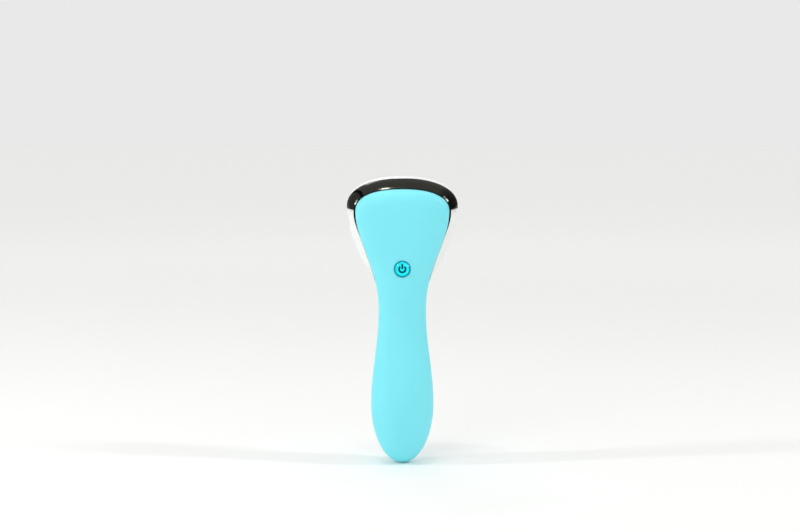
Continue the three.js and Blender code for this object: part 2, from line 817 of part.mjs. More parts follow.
place(
  button,
  "switch_plunger",
  turned([
    [0, plungerTop],
    [stemRadius, plungerTop],
    [stemRadius, plungerTop + plungerProud + plungerSeat],
    [0, plungerTop + plungerProud + plungerSeat],
  ]),
  epoxyBlack,
);
const switchTop = plungerTop + plungerProud;
const half = switchSide / 2;
const switchWell = rod(
  stemRadius + buttonFit,
  0,
  0,
  switchTop - overrun,
  switchTop + plungerSeat + buttonTravel + buttonLift,
);
place(
  button,
  "switch_body",
  block(-half, half, switchTop, switchTop + switchThickness, -half, half).subtract(switchWell),
  epoxyBlack,
);

// Control board, chips and connectors
const electronics = new THREE.Group();
function roundedRectangle(x0, x1, z0, z1, radius) {
  const shape = new THREE.Shape();
  shape.absarc(x1 - radius, z0 + radius, radius, -Math.PI / 2, 0);
  shape.absarc(x1 - radius, z1 - radius, radius, 0, Math.PI / 2);
  shape.absarc(x0 + radius, z1 - radius, radius, Math.PI / 2, Math.PI);
  shape.absarc(x0 + radius, z0 + radius, radius, Math.PI, (3 * Math.PI) / 2);
  return shape;
}
const controlShape = roundedRectangle(
  -controlHalfWidth,
  controlHalfWidth,
  controlLow,
  controlHigh,
  controlCorner,
);
for (const { x, z } of controlPosts) {
  const hole = new THREE.Path().absarc(x, z, screwRadius + screwClearance, 0, 2 * Math.PI, true);
  controlShape.holes.push(hole);
}
const controlSlab = slab(controlShape, controlFront, controlBack, smallSides / 2);
place(electronics, "control_board", controlSlab, boardGreen);
controlPosts.forEach(({ x, z }, i) => {
  const name = `control_board_screw_${i + 1}`;
  place(electronics, name, screwGeometry, steel, x, controlBack, z).rotation.z = Math.PI;
});
function chip(name, x, z, width, height, thickness, material) {
  const x0 = x - width / 2;
  const z0 = z - height / 2;
  const made = block(x0, x0 + width, controlBack, controlBack + thickness, z0, z0 + height);
  return place(electronics, name, made, material);
}
const connectorWidth = leadSpacing + 2 * (leadRadius + connectorWall);
const connectorX = (connectorWidth + connectorGap) / 2;
const lowTerminalZ = controlLow + controlPostInset + screwHeadRadius + connectorGap;
const lowConnectorZ = lowTerminalZ + connectorHeight / 2;
const highConnectorZ = controlHigh - connectorMargin - connectorHeight / 2;
const inductorHeight = highConnectorZ - connectorHeight / 2 - inductorGap - inductorRadius;
chip("controller_chip", 0, buttonHeight + chipRise, chipSide, chipSide, chipThickness, epoxyBlack);
chip("charger_chip", 0, buttonHeight - chargerDrop, chargerSide, chargerSide, chipThickness, epoxyBlack);
place(
  electronics,
  "driver_inductor",
  rod(inductorRadius, 0, inductorHeight, controlBack, controlBack + inductorThickness),
  epoxyBlack,
);
function connector(name, x, z) {
  chip(name, x, z, connectorWidth, connectorHeight, connectorThickness, nylonCream);
}
connector("battery_connector", -connectorX, lowConnectorZ);
connector("charge_connector", connectorX, lowConnectorZ);
connector("led_connector", 0, highConnectorZ);
const ledSocketZ = controlHigh + ledLeadRise;
place(
  electronics,
  "led_board_connector",
  block(
    -connectorWidth / 2,
    connectorWidth / 2,
    ledBoardDepth - connectorThickness,
    ledBoardDepth,
    ledSocketZ - connectorHeight / 2,
    ledSocketZ + connectorHeight / 2,
  ),
  nylonCream,
);

// Cell in its saddles, and the pad between it and the cover
const cellTop = cellLow + cellLength;
const cellProfile = [
  [0, 0],
  [cellRadius - cellRound, 0],
  [cellRadius, cellRound],
  [cellRadius, cellLength - cellGrooveDrop - cellGroove],
  [cellRadius - cellGroove, cellLength - cellGrooveDrop],
  [cellRadius, cellLength - cellGrooveDrop + cellGroove],
  [cellRadius, cellLength - cellRound],
  [cellRadius - cellRound, cellLength],
  [cellCapRadius, cellLength],
  [cellCapRadius, cellLength + cellCapHeight],
  [0, cellLength + cellCapHeight],
];
place(
  electronics,
  "battery_cell",
  turned(cellProfile, 2 * smallSides).rotateX(Math.PI / 2),
  sleeveGreen,
  0,
  cellBack,
  cellLow,
);
const padLow = cellLow + (cellLength - padLength) / 2;
const padHigh = padLow + padLength;
const padRounding = closing(padHalfWidth / bodyHalfWidth(padHigh, bodyWall), 2);
const padFront = -bodyFront(padHigh, bodyWall) * padRounding;
place(
  electronics,
  "battery_pad",
  block(
    -padHalfWidth,
    padHalfWidth,
    padFront + partGap,
    cellBack - cellRadius - partGap,
    padLow,
    padHigh,
  ),
  foamGrey,
);

// Charging board and socket
const chargeShoulder = chargeBoardEnd - chargeTongueLength;
const chargeShape = new THREE.Shape([
  new THREE.Vector2(-chargeBoardHalfWidth, chargeBoardEnd - chargeBoardLength),
  new THREE.Vector2(chargeBoardHalfWidth, chargeBoardEnd - chargeBoardLength),
  new THREE.Vector2(chargeBoardHalfWidth, chargeShoulder),
  new THREE.Vector2(chargeTongueHalfWidth, chargeShoulder),
  new THREE.Vector2(chargeTongueHalfWidth, chargeBoardEnd),
  new THREE.Vector2(-chargeTongueHalfWidth, chargeBoardEnd),
  new THREE.Vector2(-chargeTongueHalfWidth, chargeShoulder),
  new THREE.Vector2(-chargeBoardHalfWidth, chargeShoulder),
]);
place(
  electronics,
  "charge_board",
  new THREE.ExtrudeGeometry(chargeShape, { depth: chargeBoardThickness, bevelEnabled: false }),
  boardGreen,
  0,
  0,
  chargeTop - chargeBoardThickness,
);
const socketRear = socketMouth - socketLength;
const socketOuter = slotShape(socketWidth, socketThickness);
const socketInner = slotShape(socketWidth - 2 * socketSheet, socketThickness - 2 * socketSheet);
const socketShell = solid(slab(socketOuter, socketRear, socketMouth, smallSides / 2));
const boreRear = socketRear + socketBack;
const socketBore = solid(slab(socketInner, boreRear, socketMouth + overrun, smallSides / 2));
const tongue = block(
  -tongueWidth / 2,
  tongueWidth / 2,
  socketRear + socketBack / 2,
  socketMouth - tongueShort,
  -tongueThickness / 2,
  tongueThickness / 2,
);
place(electronics, "charge_socket", socketShell.subtract(socketBore).add(tongue), steel, 0, 0, socketHeight);

// Leads: round wires from one terminal to another
function lead(name, curve, material) {
  const section = new THREE.Shape(
    Array.from({ length: leadSides }, (_, i) => {
      const turn = (2 * Math.PI * i) / leadSides;
      return new THREE.Vector2(leadRadius * Math.cos(turn), leadRadius * Math.sin(turn));
    }),
  );
  const steps = Math.ceil(curve.getLength() / leadPitch);
  place(
    electronics,
    name,
    new THREE.ExtrudeGeometry(section, { steps, bevelEnabled: false, extrudePath: curve }),
    material,
  );
}
function risingCurve(from, to, bend) {
  const up = new THREE.Vector3(0, 0, bend);
  return new THREE.CubicBezierCurve3(from, from.clone().add(up), to.clone().sub(up), to);
}
const leadDepth = controlBack + connectorThickness / 2;
[-1, 1].forEach((side) => {
  const offset = (side * leadSpacing) / 2;
  const cellLeadLow = cellTop + cellCapHeight + partGap;
  const cellLeadStart = new THREE.Vector3(offset - connectorX / 2, cellBack, cellLeadLow);
  const cellLeadEnd = new THREE.Vector3(-connectorX + offset, leadDepth, lowTerminalZ - partGap);
  const cellName = side < 0 ? "battery_lead_negative" : "battery_lead_positive";
  lead(cellName, risingCurve(cellLeadStart, cellLeadEnd, leadBend), side < 0 ? leadBlack : leadRed);

  const ledLeadStart = new THREE.Vector3(offset, leadDepth, highConnectorZ + connectorHeight / 2 + partGap);
  const ledLeadEnd = new THREE.Vector3(
    offset,
    ledBoardDepth - connectorThickness / 2,
    ledSocketZ - connectorHeight / 2 - partGap,
  );
  const ledName = side < 0 ? "led_lead_blue" : "led_lead_red";
  lead(ledName, risingCurve(ledLeadStart, ledLeadEnd, leadBend / 2), side < 0 ? leadBlue : leadRed);

  const laneX = cellRadius + chargeLane;
  const laneY = -chargeLeadFront + side;
  const chargeName = side < 0 ? "charge_lead_negative" : "charge_lead_positive";
  const route = new THREE.CatmullRomCurve3([
    new THREE.Vector3(chargeBoardHalfWidth - leadSpacing, laneY - leadRadius, chargeTop + partGap),
    new THREE.Vector3(chargeBoardHalfWidth - leadSpacing / 2, laneY, chargeTop + leadBend),
    new THREE.Vector3(laneX, laneY, cellLow),
    new THREE.Vector3(laneX, laneY, (cellLow + cellTop) / 2),
    new THREE.Vector3(laneX, laneY, cellTop),
    new THREE.Vector3(connectorX + offset, leadDepth, lowTerminalZ - partGap - leadBend / 2),
    new THREE.Vector3(connectorX + offset, leadDepth, lowTerminalZ - partGap),
  ]);
  lead(chargeName, route, side < 0 ? leadBlack : leadRed);
});

device.add(shells, lightHead, button, electronics);
const root = new THREE.Group();
root.add(device);
export default root;
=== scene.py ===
import math
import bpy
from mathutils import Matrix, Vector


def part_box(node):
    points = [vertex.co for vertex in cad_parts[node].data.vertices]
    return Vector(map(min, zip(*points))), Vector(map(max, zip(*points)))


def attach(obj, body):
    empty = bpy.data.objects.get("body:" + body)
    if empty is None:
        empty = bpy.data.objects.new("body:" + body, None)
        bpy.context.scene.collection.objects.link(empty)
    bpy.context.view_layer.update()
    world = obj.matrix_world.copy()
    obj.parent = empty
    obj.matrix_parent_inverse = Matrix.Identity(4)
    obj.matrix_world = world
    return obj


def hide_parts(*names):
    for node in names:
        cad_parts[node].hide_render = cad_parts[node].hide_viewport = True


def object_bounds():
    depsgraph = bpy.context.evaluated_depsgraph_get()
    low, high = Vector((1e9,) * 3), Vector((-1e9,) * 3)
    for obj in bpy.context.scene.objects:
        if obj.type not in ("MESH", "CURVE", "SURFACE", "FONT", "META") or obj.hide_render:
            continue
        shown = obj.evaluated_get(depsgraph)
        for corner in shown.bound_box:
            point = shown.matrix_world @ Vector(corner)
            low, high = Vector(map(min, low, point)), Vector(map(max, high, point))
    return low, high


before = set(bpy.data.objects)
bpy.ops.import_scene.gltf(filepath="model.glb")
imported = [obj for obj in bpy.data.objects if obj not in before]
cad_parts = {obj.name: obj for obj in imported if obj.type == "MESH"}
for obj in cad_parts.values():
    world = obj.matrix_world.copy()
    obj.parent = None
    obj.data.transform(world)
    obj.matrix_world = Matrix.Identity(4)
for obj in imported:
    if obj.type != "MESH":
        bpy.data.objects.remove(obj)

from types import SimpleNamespace

import bmesh
import bpy
from mathutils import Matrix, Vector

bl_info = {
    "name": "Light therapy paddle",
    "version": (1, 0, 0),
    "blender": (4, 5, 0),
    "location": "3D View > Sidebar > Light Paddle",
    "description": "Builds the visible pieces of a handheld light therapy device round its CAD frame",
    "category": "Object",
}

CAD_BOX = [list(corner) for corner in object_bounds()]
MM = 0.001
# Points that lie closer than this, in metres, are one point
MERGE = 1e-6
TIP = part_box("front_cover")[0].z
# Stands a flat circle up, so that it faces along the depth
UPRIGHT = Matrix.Rotation(math.pi / 2, 4, "X")


# Properties


def length(name, millimetres, description):
    return bpy.props.FloatProperty(
        name=name, description=description, default=millimetres * MM, unit="LENGTH", precision=5
    )


def number(name, value, description):
    return bpy.props.FloatProperty(name=name, description=description, default=value)


def linear(hex_colour):
    """Turns an sRGB hex colour to linear red, green and blue."""
    shares = [int(hex_colour[i : i + 2], 16) / 255 for i in (0, 2, 4)]
    return tuple(c / 12.92 if c <= 0.04045 else ((c + 0.055) / 1.055) ** 2.4 for c in shares)


def colour(name, hex_colour, description):
    return bpy.props.FloatVectorProperty(
        name=name, description=description, default=linear(hex_colour), subtype="COLOR", min=0, max=1
    )


class PaddleBodySizes(bpy.types.PropertyGroup):
    wall: length("Wall", 2.2, "Thickness of the two cyan shells")
    tip_round: length("Tip round", 39, "Height over which the tip closes")
    belly_height: length("Belly height", 40, "Height of the handle's widest place above the tip")
    waist_height: length("Waist height", 100, "Height of the narrowest place above the tip")
    crown_height: length("Crown height", 165.5, "Height at which the top starts to close")
    cover_top: length("Cover top", 180.1, "Height of the cover's top edge")
    belly_half_width: length("Belly half-width", 20.5, "Half the handle's greatest width")
    waist_half_width: length("Waist half-width", 15.5, "Half the neck's width")
    crown_half_width: length("Crown half-width", 30.6, "Half the cover's width on the head")
    belly_front: length("Belly front", 15.94, "Depth of the front shell at the belly")
    waist_front: length("Waist front", 12, "Depth of the front shell at the waist")
    crown_front: length("Crown front", 11.5, "Depth of the front shell at the crown")
    belly_rear: length("Belly rear", 16.5, "Depth of the rear shell at the belly")
    waist_rear: length("Waist rear", 12.6, "Depth of the rear shell at the waist")
    crown_rear: length("Crown rear", 16, "Depth of the rear shell towards the crown")
    flare_lag: number("Flare lag", 1.2, "How late the neck starts to widen")
    handle_squareness: number("Handle squareness", 2.2, "2 is a round section, more is squarer")
    crown_squareness: number("Crown squareness", 3.1, "Squareness of the section at the crown")
    top_edge_squareness: number("Top edge squareness", 2.35, "Squareness of the cover's top outline")
    top_face_squareness: number("Top face squareness", 3.2, "How late the face bends in to the top")
    horn_gap: length("Horn gap", 0.45, "Gap between the rear shell and the light head")
    horn_top: length("Horn top", 119.9, "Height at which the rear shell ends beside the head")
    seam_round: length("Seam round", 0.15, "Round of the moulded edges along the parting line")


class PaddleHeadSizes(bpy.types.PropertyGroup):
    half_width: length("Half-width", 36, "Half the light head's width")
    height: length("Widest height", 168.7, "Height of the head's widest place above the tip")
    rise: length("Rise", 19.4, "From the widest place up to the top")
    drop: length("Drop", 57.6, "From the widest place down to the lowest")
    top_squareness: number("Top squareness", 2.35, "Squareness of the outline's top")
    low_squareness: number("Low squareness", 1.75, "Squareness of the outline's lower part")
    wall: length("Wall", 2.4, "Thickness of the white housing")
    rear_wall: length("Rear wall", 3.5, "Thickness of the wall round the window")
    depth: length("Depth", 17.5, "Depth of the housing's back face behind the parting plane")
    edge_round: length("Edge round", 2.7, "Round of the housing's back edge")
    front_lip: length("Front lip", 0.3, "How far the housing's front edge stands out from the cover")
    front: length("Front", 1.4, "Depth of the housing's front edge")
    shoulder_depth: length("Shoulder depth", 8, "Depth at which the housing's slope ends")
    rim_depth: length("Rim depth", 9.2, "Depth of the head's widest section")
    shoulder_inset: length("Shoulder inset", 0.9, "Width of the step behind the slope")
    shoulder_top_inset: length("Shoulder top inset", 2.1, "Width of that step at the top")
    rebate_inset: length("Rebate inset", 7, "From the head's outline in to the window's rebate")
    rebate_floor: length("Rebate floor", 15, "Depth of the rebate's floor")
    opening_inset: length("Opening inset", 8.5, "From the head's outline in to the opening")
    window_fit: length("Window fit", 0.25, "Gap round the window")
    window_inner: length("Window inner face", 15.6, "Depth of the window's inner face")
    window_outer: length("Window outer face", 18.3, "Depth of the window's outer face")
    window_edge: length("Window edge", 1.2, "Round of the window's outer edge")
    reflector_inset: length("Reflector inset", 7.5, "From the head's outline in to the reflector")
    board_back: length("Board back", 8, "Depth of the lamp board's back face")
    reflector_back: length("Reflector back", 12, "Depth of the reflector's back face")
    cup_radius: length("Cup radius", 4.4, "Radius of a reflector cup's mouth")
    cup_hole_radius: length("Cup hole radius", 3.25, "Radius of the hole that a lamp stands in")
    cup_depth: length("Cup depth", 2.5, "Depth of a reflector cup")
    lamp_radius: length("Lamp radius", 2.5, "Radius of a lamp")
    lamp_flange: length("Lamp flange", 0.4, "Width of a lamp's flange")
    lamp_flange_height: length("Lamp flange height", 1, "Height of a lamp's flange")
    lamp_barrel: length("Lamp barrel", 4, "Height of a lamp's straight part")


class PaddleTrimSizes(bpy.types.PropertyGroup):
    hoop_depth: length("Hoop depth", 1.4, "Depth of the thin hoop")
    hoop_inset: length("Hoop inset", 1.6, "How far the hoop reaches in under the cover's rim")
    lip_low: length("Lip at the neck", 0.2, "How far the hoop shows beside the neck")
    lip_high: length("Lip at the crown", 1.2, "How far the hoop shows beside the crown")
    flare_start: length("Flare start", 21.2, "Where the lip starts to widen, below the widest place")
    flare_end: length("Flare end", 5.2, "Where the lip has its full width, below the widest place")
    groove: length("Groove", 0.9, "Depth of the groove beside the cover's rim")
    stand_off: length("Stand-off", 0.4, "How far the band's back edge stands out from the head")
    top_short: length("Top short", 1.1, "How far the band stays below the head's top")
    bulge: length("Bulge", 0.5, "Crown of the band's slope")
    edge: length("Edge", 0.4, "Round of the band's back edge")
    nose: length("Nose", 0.5, "From the cover's rim out to the band's front edge")
    nose_round: length("Nose round", 0.16, "Round of that front edge")
    facet: length("Facet", 0.95, "Width of the bright facet behind the front edge")
    facet_slope: number("Facet slope", 40, "Angle that the facet falls back at, in degrees")
    gap: length("Gap", 0.3, "Gap between the band and the housing")
    end_drop: length("End drop", 1.35, "From the head's widest place down to the band's outer corner")
    end_slant: length("End slant", 1.05, "How much lower the band's inner corner is")
    back_squareness: number("Back squareness", 2.2, "Squareness of the band's back edge")


class PaddleButtonSizes(bpy.types.PropertyGroup):
    height: length("Height", 129, "Height of the button above the tip")
    ring_radius: length("Ring radius", 5.35, "Outer radius of the ring")
    ring_width: length("Ring width", 0.6, "Width of the ring's face")
    ring_proud: length("Ring proud", 0.35, "How far the ring stands out of the cover")
    ring_fit: length("Ring fit", 0.12, "Gap round the ring")
    ring_flange: length("Ring flange", 1.4, "Width of the flange behind the cover")
    ring_flange_thickness: length("Ring flange thickness", 0.9, "Thickness of that flange")
    fit: length("Fit", 0.15, "Gap between the cap and the ring")
    proud: length("Proud", 0.55, "How far the cap stands out of the cover")
    dish: length("Dish", 0.35, "How deep the cap's face is dished")
    chamfer: length("Chamfer", 0.75, "Width of the bright chamfer round the cap's face")
    chamfer_slope: number("Chamfer slope", 42, "Angle that the chamfer falls back at, in degrees")
    edge_round: length("Edge round", 0.07, "Round of the chamfer's two edges")
    flange: length("Flange", 0.9, "Width of the cap's flange")
    flange_thickness: length("Flange thickness", 0.8, "Thickness of that flange")
    lift: length("Lift", 0.2, "Gap between the cap's flange and the ring")
    stem_radius: length("Stem radius", 1.6, "Radius of the stem that meets the switch")
    stem_length: length("Stem length", 0.8, "Length of the stem")
    sign_radius: length("Sign radius", 2.08, "Middle radius of the power sign's arc")
    sign_stroke: length("Sign stroke", 1.15, "Width of the power sign's lines")
    sign_raise: length("Sign raise", 0.07, "How far the sign stands off the cap")
    sign_bar_low: length("Bar low", 0.05, "Lower end of the sign's bar above the cap's centre")
    sign_bar_high: length("Bar high", 3.4, "Upper end of the sign's bar above the cap's centre")
    sign_opening: number("Sign opening", 41, "Half the arc's opening, in degrees")


class PaddleSocketSizes(bpy.types.PropertyGroup):
    height: length("Height", 12.4, "Height of the charging socket above the tip")
    width: length("Width", 8.94, "Width of the socket's shell")
    thickness: length("Thickness", 3.26, "Thickness of the socket's shell")
    sheet: length("Sheet", 0.35, "Thickness of the shell's sheet metal")
    back: length("Back", 1.1, "Thickness of the wall at the shell's back")
    port_clearance: length("Port clearance", 0.35, "Gap round the socket in the rear shell")
    tongue_width: length("Tongue width", 6.7, "Width of the tongue")
    tongue_thickness: length("Tongue thickness", 0.8, "Thickness of the tongue")
    tongue_short: length("Tongue short", 1.4, "How far the tongue ends behind the mouth")
    contact_pitch: length("Contact pitch", 0.5, "Pitch of the contacts on the tongue")
    contact_width: length("Contact width", 0.25, "Width of a contact")


class PaddleColours(bpy.types.PropertyGroup):
    cover: colour("Cover", "7EEAF6", "The soft-touch coat of the two shells")
    housing: colour("Housing", "F2F4F3", "The white housing")
    chrome: colour("Dark chrome", "3B3B36", "The dark mirror plating of the trim")
    cap: colour("Button cap", "00F2FF", "The button's cap")
    ring: colour("Button ring", "009DB4", "The ring round the button")
    sign: colour("Power sign", "003A49", "The sign printed on the cap")
    window: colour("Window", "F6FAFA", "The clear window")
    gasket: colour("Gasket", "8B9092", "The window's silicone seat")
    blue_lamp: colour("Blue lamp", "3478FF", "The epoxy of a blue lamp")
    red_lamp: colour("Red lamp", "FF3426", "The epoxy of a red lamp")
    floor: colour("Floor", "F4F4F2", "The floor and backdrop")


class PaddleStage(bpy.types.PropertyGroup):
    elevation: number("Elevation", 5, "Height of the camera above the horizon, in degrees")
    lens: number("Lens", 70, "Focal length, in millimetres")
    distance: length("Distance", 1020, "From the camera to the device")
    air: number("Air", 0.65, "Strength of the even light all round")
    backdrop: number("Backdrop", 0.815, "How bright the air looks to the camera and in reflections")
    key: number("Key", 3.8, "Power of the large soft box, in watts")
    glint: number("Glint", 2.5, "Power of the small lamps, in watts")
    near_lift: number("Near lift", 0.03, "How much the floor shines to the camera near the device")
    far_lift: number("Far lift", 0.23, "How much it shines far away, where it meets the air")
    lift_start: length("Lift start", 80, "Where the floor's shine starts to rise")
    lift_end: length("Lift end", 2200, "Where it is full")
    aim_across: length("Aim across", -1.5, "From the device's middle to the middle of the view, across")
    aim_up: length("Aim up", 35.7, "From the device's middle to the middle of the view, upwards")


GROUPS = {
    "paddle_body": PaddleBodySizes,
    "paddle_head": PaddleHeadSizes,
    "paddle_trim": PaddleTrimSizes,
    "paddle_button": PaddleButtonSizes,
    "paddle_socket": PaddleSocketSizes,
    "paddle_colours": PaddleColours,
    "paddle_stage": PaddleStage,
}


def settings(group):
    """The values of one property group, as plain numbers that are quick to read."""
    held = getattr(bpy.context.scene, group)
    names = GROUPS[group].__annotations__
    values = {name: getattr(held, name) for name in names}
    plain = {name: v if isinstance(v, float) else tuple(v) for name, v in values.items()}
    return SimpleNamespace(**plain)


# Outlines


def clamp(value, low, high):
    return min(max(value, low), high)


def lerp(start, end, share):
    return start + (end - start) * share


def ease(value, low, high):
    share = clamp((value - low) / (high - low), 0, 1)
    return share * share * (3 - 2 * share)


def quarter_turn(steps):
    """Angles from nothing to a quarter turn."""
    return [math.pi / 2 * i / steps for i in range(steps + 1)]


def closing(share, squareness):
    """How much of its full size a rounded end still has, at a share of the way to that end."""
    return max(0.0, 1 - clamp(share, 0, 1) ** squareness) ** (1 / squareness)


class Body:
    """The cyan body's shape: its width and depth at a height above the tip."""

    def __init__(self):
        self.s = settings("paddle_body")

    def along(self, height, belly, waist, crown):
        """A value that goes from the belly's through the waist's to the crown's."""
        s = self.s
        if height <= s.waist_height:
            return lerp(belly, waist, ease(height, s.belly_height, s.waist_height))
        share = clamp((height - s.waist_height) / (s.crown_height - s.waist_height), 0, 1)
        return lerp(waist, crown, ease(share**s.flare_lag, 0, 1))

    def tip_closing(self, height, inset):
        return closing(1 - (height - inset) / (self.s.tip_round - inset), 2)

    def top_closing(self, height, inset, squareness):
        s = self.s
        return closing((height - s.crown_height) / (s.cover_top - inset - s.crown_height), squareness)

    def half_width(self, height, inset=0.0):
        s = self.s
        full = self.along(height, s.belly_half_width, s.waist_half_width, s.crown_half_width)
        ends = self.tip_closing(height, inset) * self.top_closing(height, inset, s.top_edge_squareness)
        return (full - inset) * ends

    def front(self, x, height, inset=0.0):
        s = self.s
        return -self.face(x, height, inset, s.belly_front, s.waist_front, s.crown_front)

    def rear(self, x, height, inset=0.0):
        s = self.s
        return self.face(x, height, inset, s.belly_rear, s.waist_rear, s.crown_rear)

    def face(self, x, height, inset, belly, waist, crown):
        """How deep a face lies at a point, from its depths at the belly, the waist and the crown."""
        s = self.s
        width = self.half_width(height, inset)
        if width < MERGE:
            return 0.0
        ends = self.tip_closing(height, inset) * self.top_closing(height, inset, s.top_face_squareness)
        depth = (self.along(height, belly, waist, crown) - inset) * ends
        squareness = self.along(height, s.handle_squareness, s.handle_squareness, s.crown_squareness)
        return depth * closing(abs(x) / width, squareness)


class Outline:
    """A half-width at each height between a lowest and a highest point."""

    # So close to its lowest or highest point the outline has no width
    END_SHARE = 1e-9

    def __init__(self, low, high, at):
        self.low, self.high, self.at = low, high, at

    def point(self, turn, depth):
        """The point a share of the way round, from the lowest point up the right side."""
        share = (1 - math.cos(2 * math.pi * turn)) / 2
        height = lerp(self.low, self.high, share)
        inside = self.END_SHARE < share < 1 - self.END_SHARE
        side = 1 if turn <= 0.5 else -1
        return Vector((side * self.at(height) if inside else 0.0, depth, height + TIP))

    def ring(self, depth, around):
        return [self.point(i / around, depth) for i in range(around + 1)]


class Head:
    """Outlines of the light head, all of them at heights above the tip."""

    def __init__(self):
        self.s = settings("paddle_head")
        self.body = Body()

    def pick(self, inset, top_inset=None, top_squareness=None):
        """The head's own outline, inset all round, with its top inset and squared by itself."""
        s = self.s
        rise = s.rise - (inset if top_inset is None else top_inset)
        drop = s.drop - inset
        upper_squareness = top_squareness or s.top_squareness

        def at(height):
            if height > s.height:
                full = closing((height - s.height) / rise, upper_squareness)
            else:
                full = closing((s.height - height) / drop, s.low_squareness)
            return (s.half_width - inset) * full

        return Outline(s.height - drop, s.height + rise, at)

    def cover_edge(self, grow, head_inset):
        """The cover's outline, grown a little, where it lies on the head."""
        s = self.s
        inner = self.pick(head_inset)

        def at(height):
            width = self.body.half_width(height, -grow)
            return width if height > s.height else min(width, inner.at(height))

        return Outline(s.height - s.drop + head_inset, self.body.s.cover_top + grow, at)

    def shoulder(self, inset):
        """The head's outline at the end of its slope, a step in from its widest section."""
        s = self.s
        return self.pick(s.shoulder_inset + inset, s.shoulder_top_inset + inset)

    def rounded_back(self, back, radius, outline, steps):
        """Layers that round off a back edge. The outline is a function of how far it is inset."""
        return [
            (back - radius * (1 - math.sin(turn)), outline(radius * (1 - math.cos(turn))))
            for turn in quarter_turn(steps)
        ]


def between(start, end, share, bulge=0.0):
    """The outline a share of the way from one outline to another, pushed out by a bulge."""
    low = lerp(start.low, end.low, share) - bulge
    high = lerp(start.high, end.high, share) + bulge

    def at(height):
        way = (height - low) / (high - low)
        near = start.at(lerp(start.low, start.high, way))
        far = end.at(lerp(end.low, end.high, way))
        return lerp(near, far, share) + bulge

    return Outline(low, high, at)


def evenly(points, count):
    """count + 1 points spaced evenly along a line of points."""
    points = [Vector(p) for p in points]
    travelled = [0.0]
    for a, b in zip(points, points[1:]):
        travelled.append(travelled[-1] + (b - a).length)
    spaced = []
    at = 0
    for i in range(count + 1):
        target = travelled[-1] * i / count
        while at < len(points) - 2 and travelled[at + 1] < target:
            at += 1
        step = travelled[at + 1] - travelled[at]
        share = clamp((target - travelled[at]) / step, 0, 1) if step else 0
        spaced.append(points[at].lerp(points[at + 1], share))
    return spaced


# Mesh tools


def loft(bm, rows):
    """Lays a sheet of faces through rows of points. Rows or points that meet are merged."""
    across, down = len(rows[0]) - 1, len(rows) - 1
    made = bmesh.ops.create_grid(bm, x_segments=across, y_segments=down, size=0.5)["verts"]
    for vert in made:
        column = round((vert.co.x + 0.5) * across)
        row = round((vert.co.y + 0.5) * down)
        vert.co = rows[row][column]
    bmesh.ops.remove_doubles(bm, verts=made, dist=MERGE)


def lofted(rows):
    """A closed shell through rows of points. Where it has open ends, they are filled."""
    bm = bmesh.new()
    loft(bm, rows)
    bmesh.ops.edgeloop_fill(bm, edges=open_edges(bm))
    face_outwards(bm)
    return bm


def turned(profile, centre, steps):
    """A closed shell of a profile of (radius, depth), turned round a line along the depth."""
    bm = bmesh.new()
    verts = [bm.verts.new((centre.x + r, y, centre.z)) for r, y in profile]
    edges = [bm.edges.new(pair) for pair in zip(verts, verts[1:])]
    bmesh.ops.spin(
        bm,
        geom=verts + edges,
        cent=centre,
        axis=(0, 1, 0),
        angle=2 * math.pi,
        steps=steps,
        use_merge=True,
        use_duplicate=False,
    )
    face_outwards(bm)
    return bm


def block(bm, centre, size):
    """Adds a plain block of a size in metres round its centre."""
    place = Matrix.Translation(centre) @ Matrix.Diagonal((*size, 1))
    bmesh.ops.create_cube(bm, size=1.0, matrix=place)


def arc(centre, radius, start, end, steps):
    """Points of an arc in (radius, depth), its angles in degrees."""
    turns = [math.radians(lerp(start, end, i / steps)) for i in range(steps + 1)]
    return [(centre[0] + radius * math.cos(t), centre[1] + radius * math.sin(t)) for t in turns]


def both_sides(half):
    """A row of points and its mirror image, joined at the row's end in the middle."""
    half[-1].x = 0
    return half + [Vector((-p.x, p.y, p.z)) for p in half[-2::-1]]


def open_edges(bm):
    return [e for e in bm.edges if e.is_boundary]


def face_outwards(bm):
    bmesh.ops.remove_doubles(bm, verts=bm.verts[:], dist=MERGE)
    bmesh.ops.recalc_face_normals(bm, faces=bm.faces[:])


def soften(bm, radius, angle=35, segments=3):
    """Rounds every edge that is sharper than an angle in degrees."""
    inner = [e for e in bm.edges if len(e.link_faces) == 2]
    sharp = [e for e in inner if e.calc_face_angle(0) > math.radians(angle)]
    bmesh.ops.bevel(
        bm,
        geom=sharp,
        offset=radius,
        offset_type="OFFSET",
        segments=segments,
        profile=0.5,
        affect="EDGES",
        clamp_overlap=True,
        material=-1,
    )


def join(bm, other):
    """Adds a second mesh to the first, and lets the second go."""
    held = bpy.data.meshes.new("held")
    other.to_mesh(held)
    other.free()
    bm.from_mesh(held)
    bpy.data.meshes.remove(held)


def in_scene(name, data):
    """A new object for a mesh, a lamp or a camera, linked to the scene."""
    made = bpy.data.objects.new(name, data)
    bpy.context.scene.collection.objects.link(made)
    return made


def mesh_object(bm, name, finish_name):
    """Turns what is modelled into an object with its finish, and lets the model go."""
    mesh = bpy.data.meshes.new(name)
    bm.to_mesh(mesh)
    bm.free()
    mesh.materials.append(finish(finish_name))
    return in_scene(name, mesh)


def piece(bm, name, finish_name, replaced=None, body="casing", crease=30):
    """Makes a finished piece of a mesh: shaded smooth but for its creases, in place on its body."""
    for face in bm.faces:
        face.smooth = True
    for edge in bm.edges:
        edge.smooth = edge.calc_face_angle(math.pi) < math.radians(crease)
    made = mesh_object(bm, name, finish_name)
    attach(made, body)
    if replaced:
        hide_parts(replaced)
    return made


# Materials

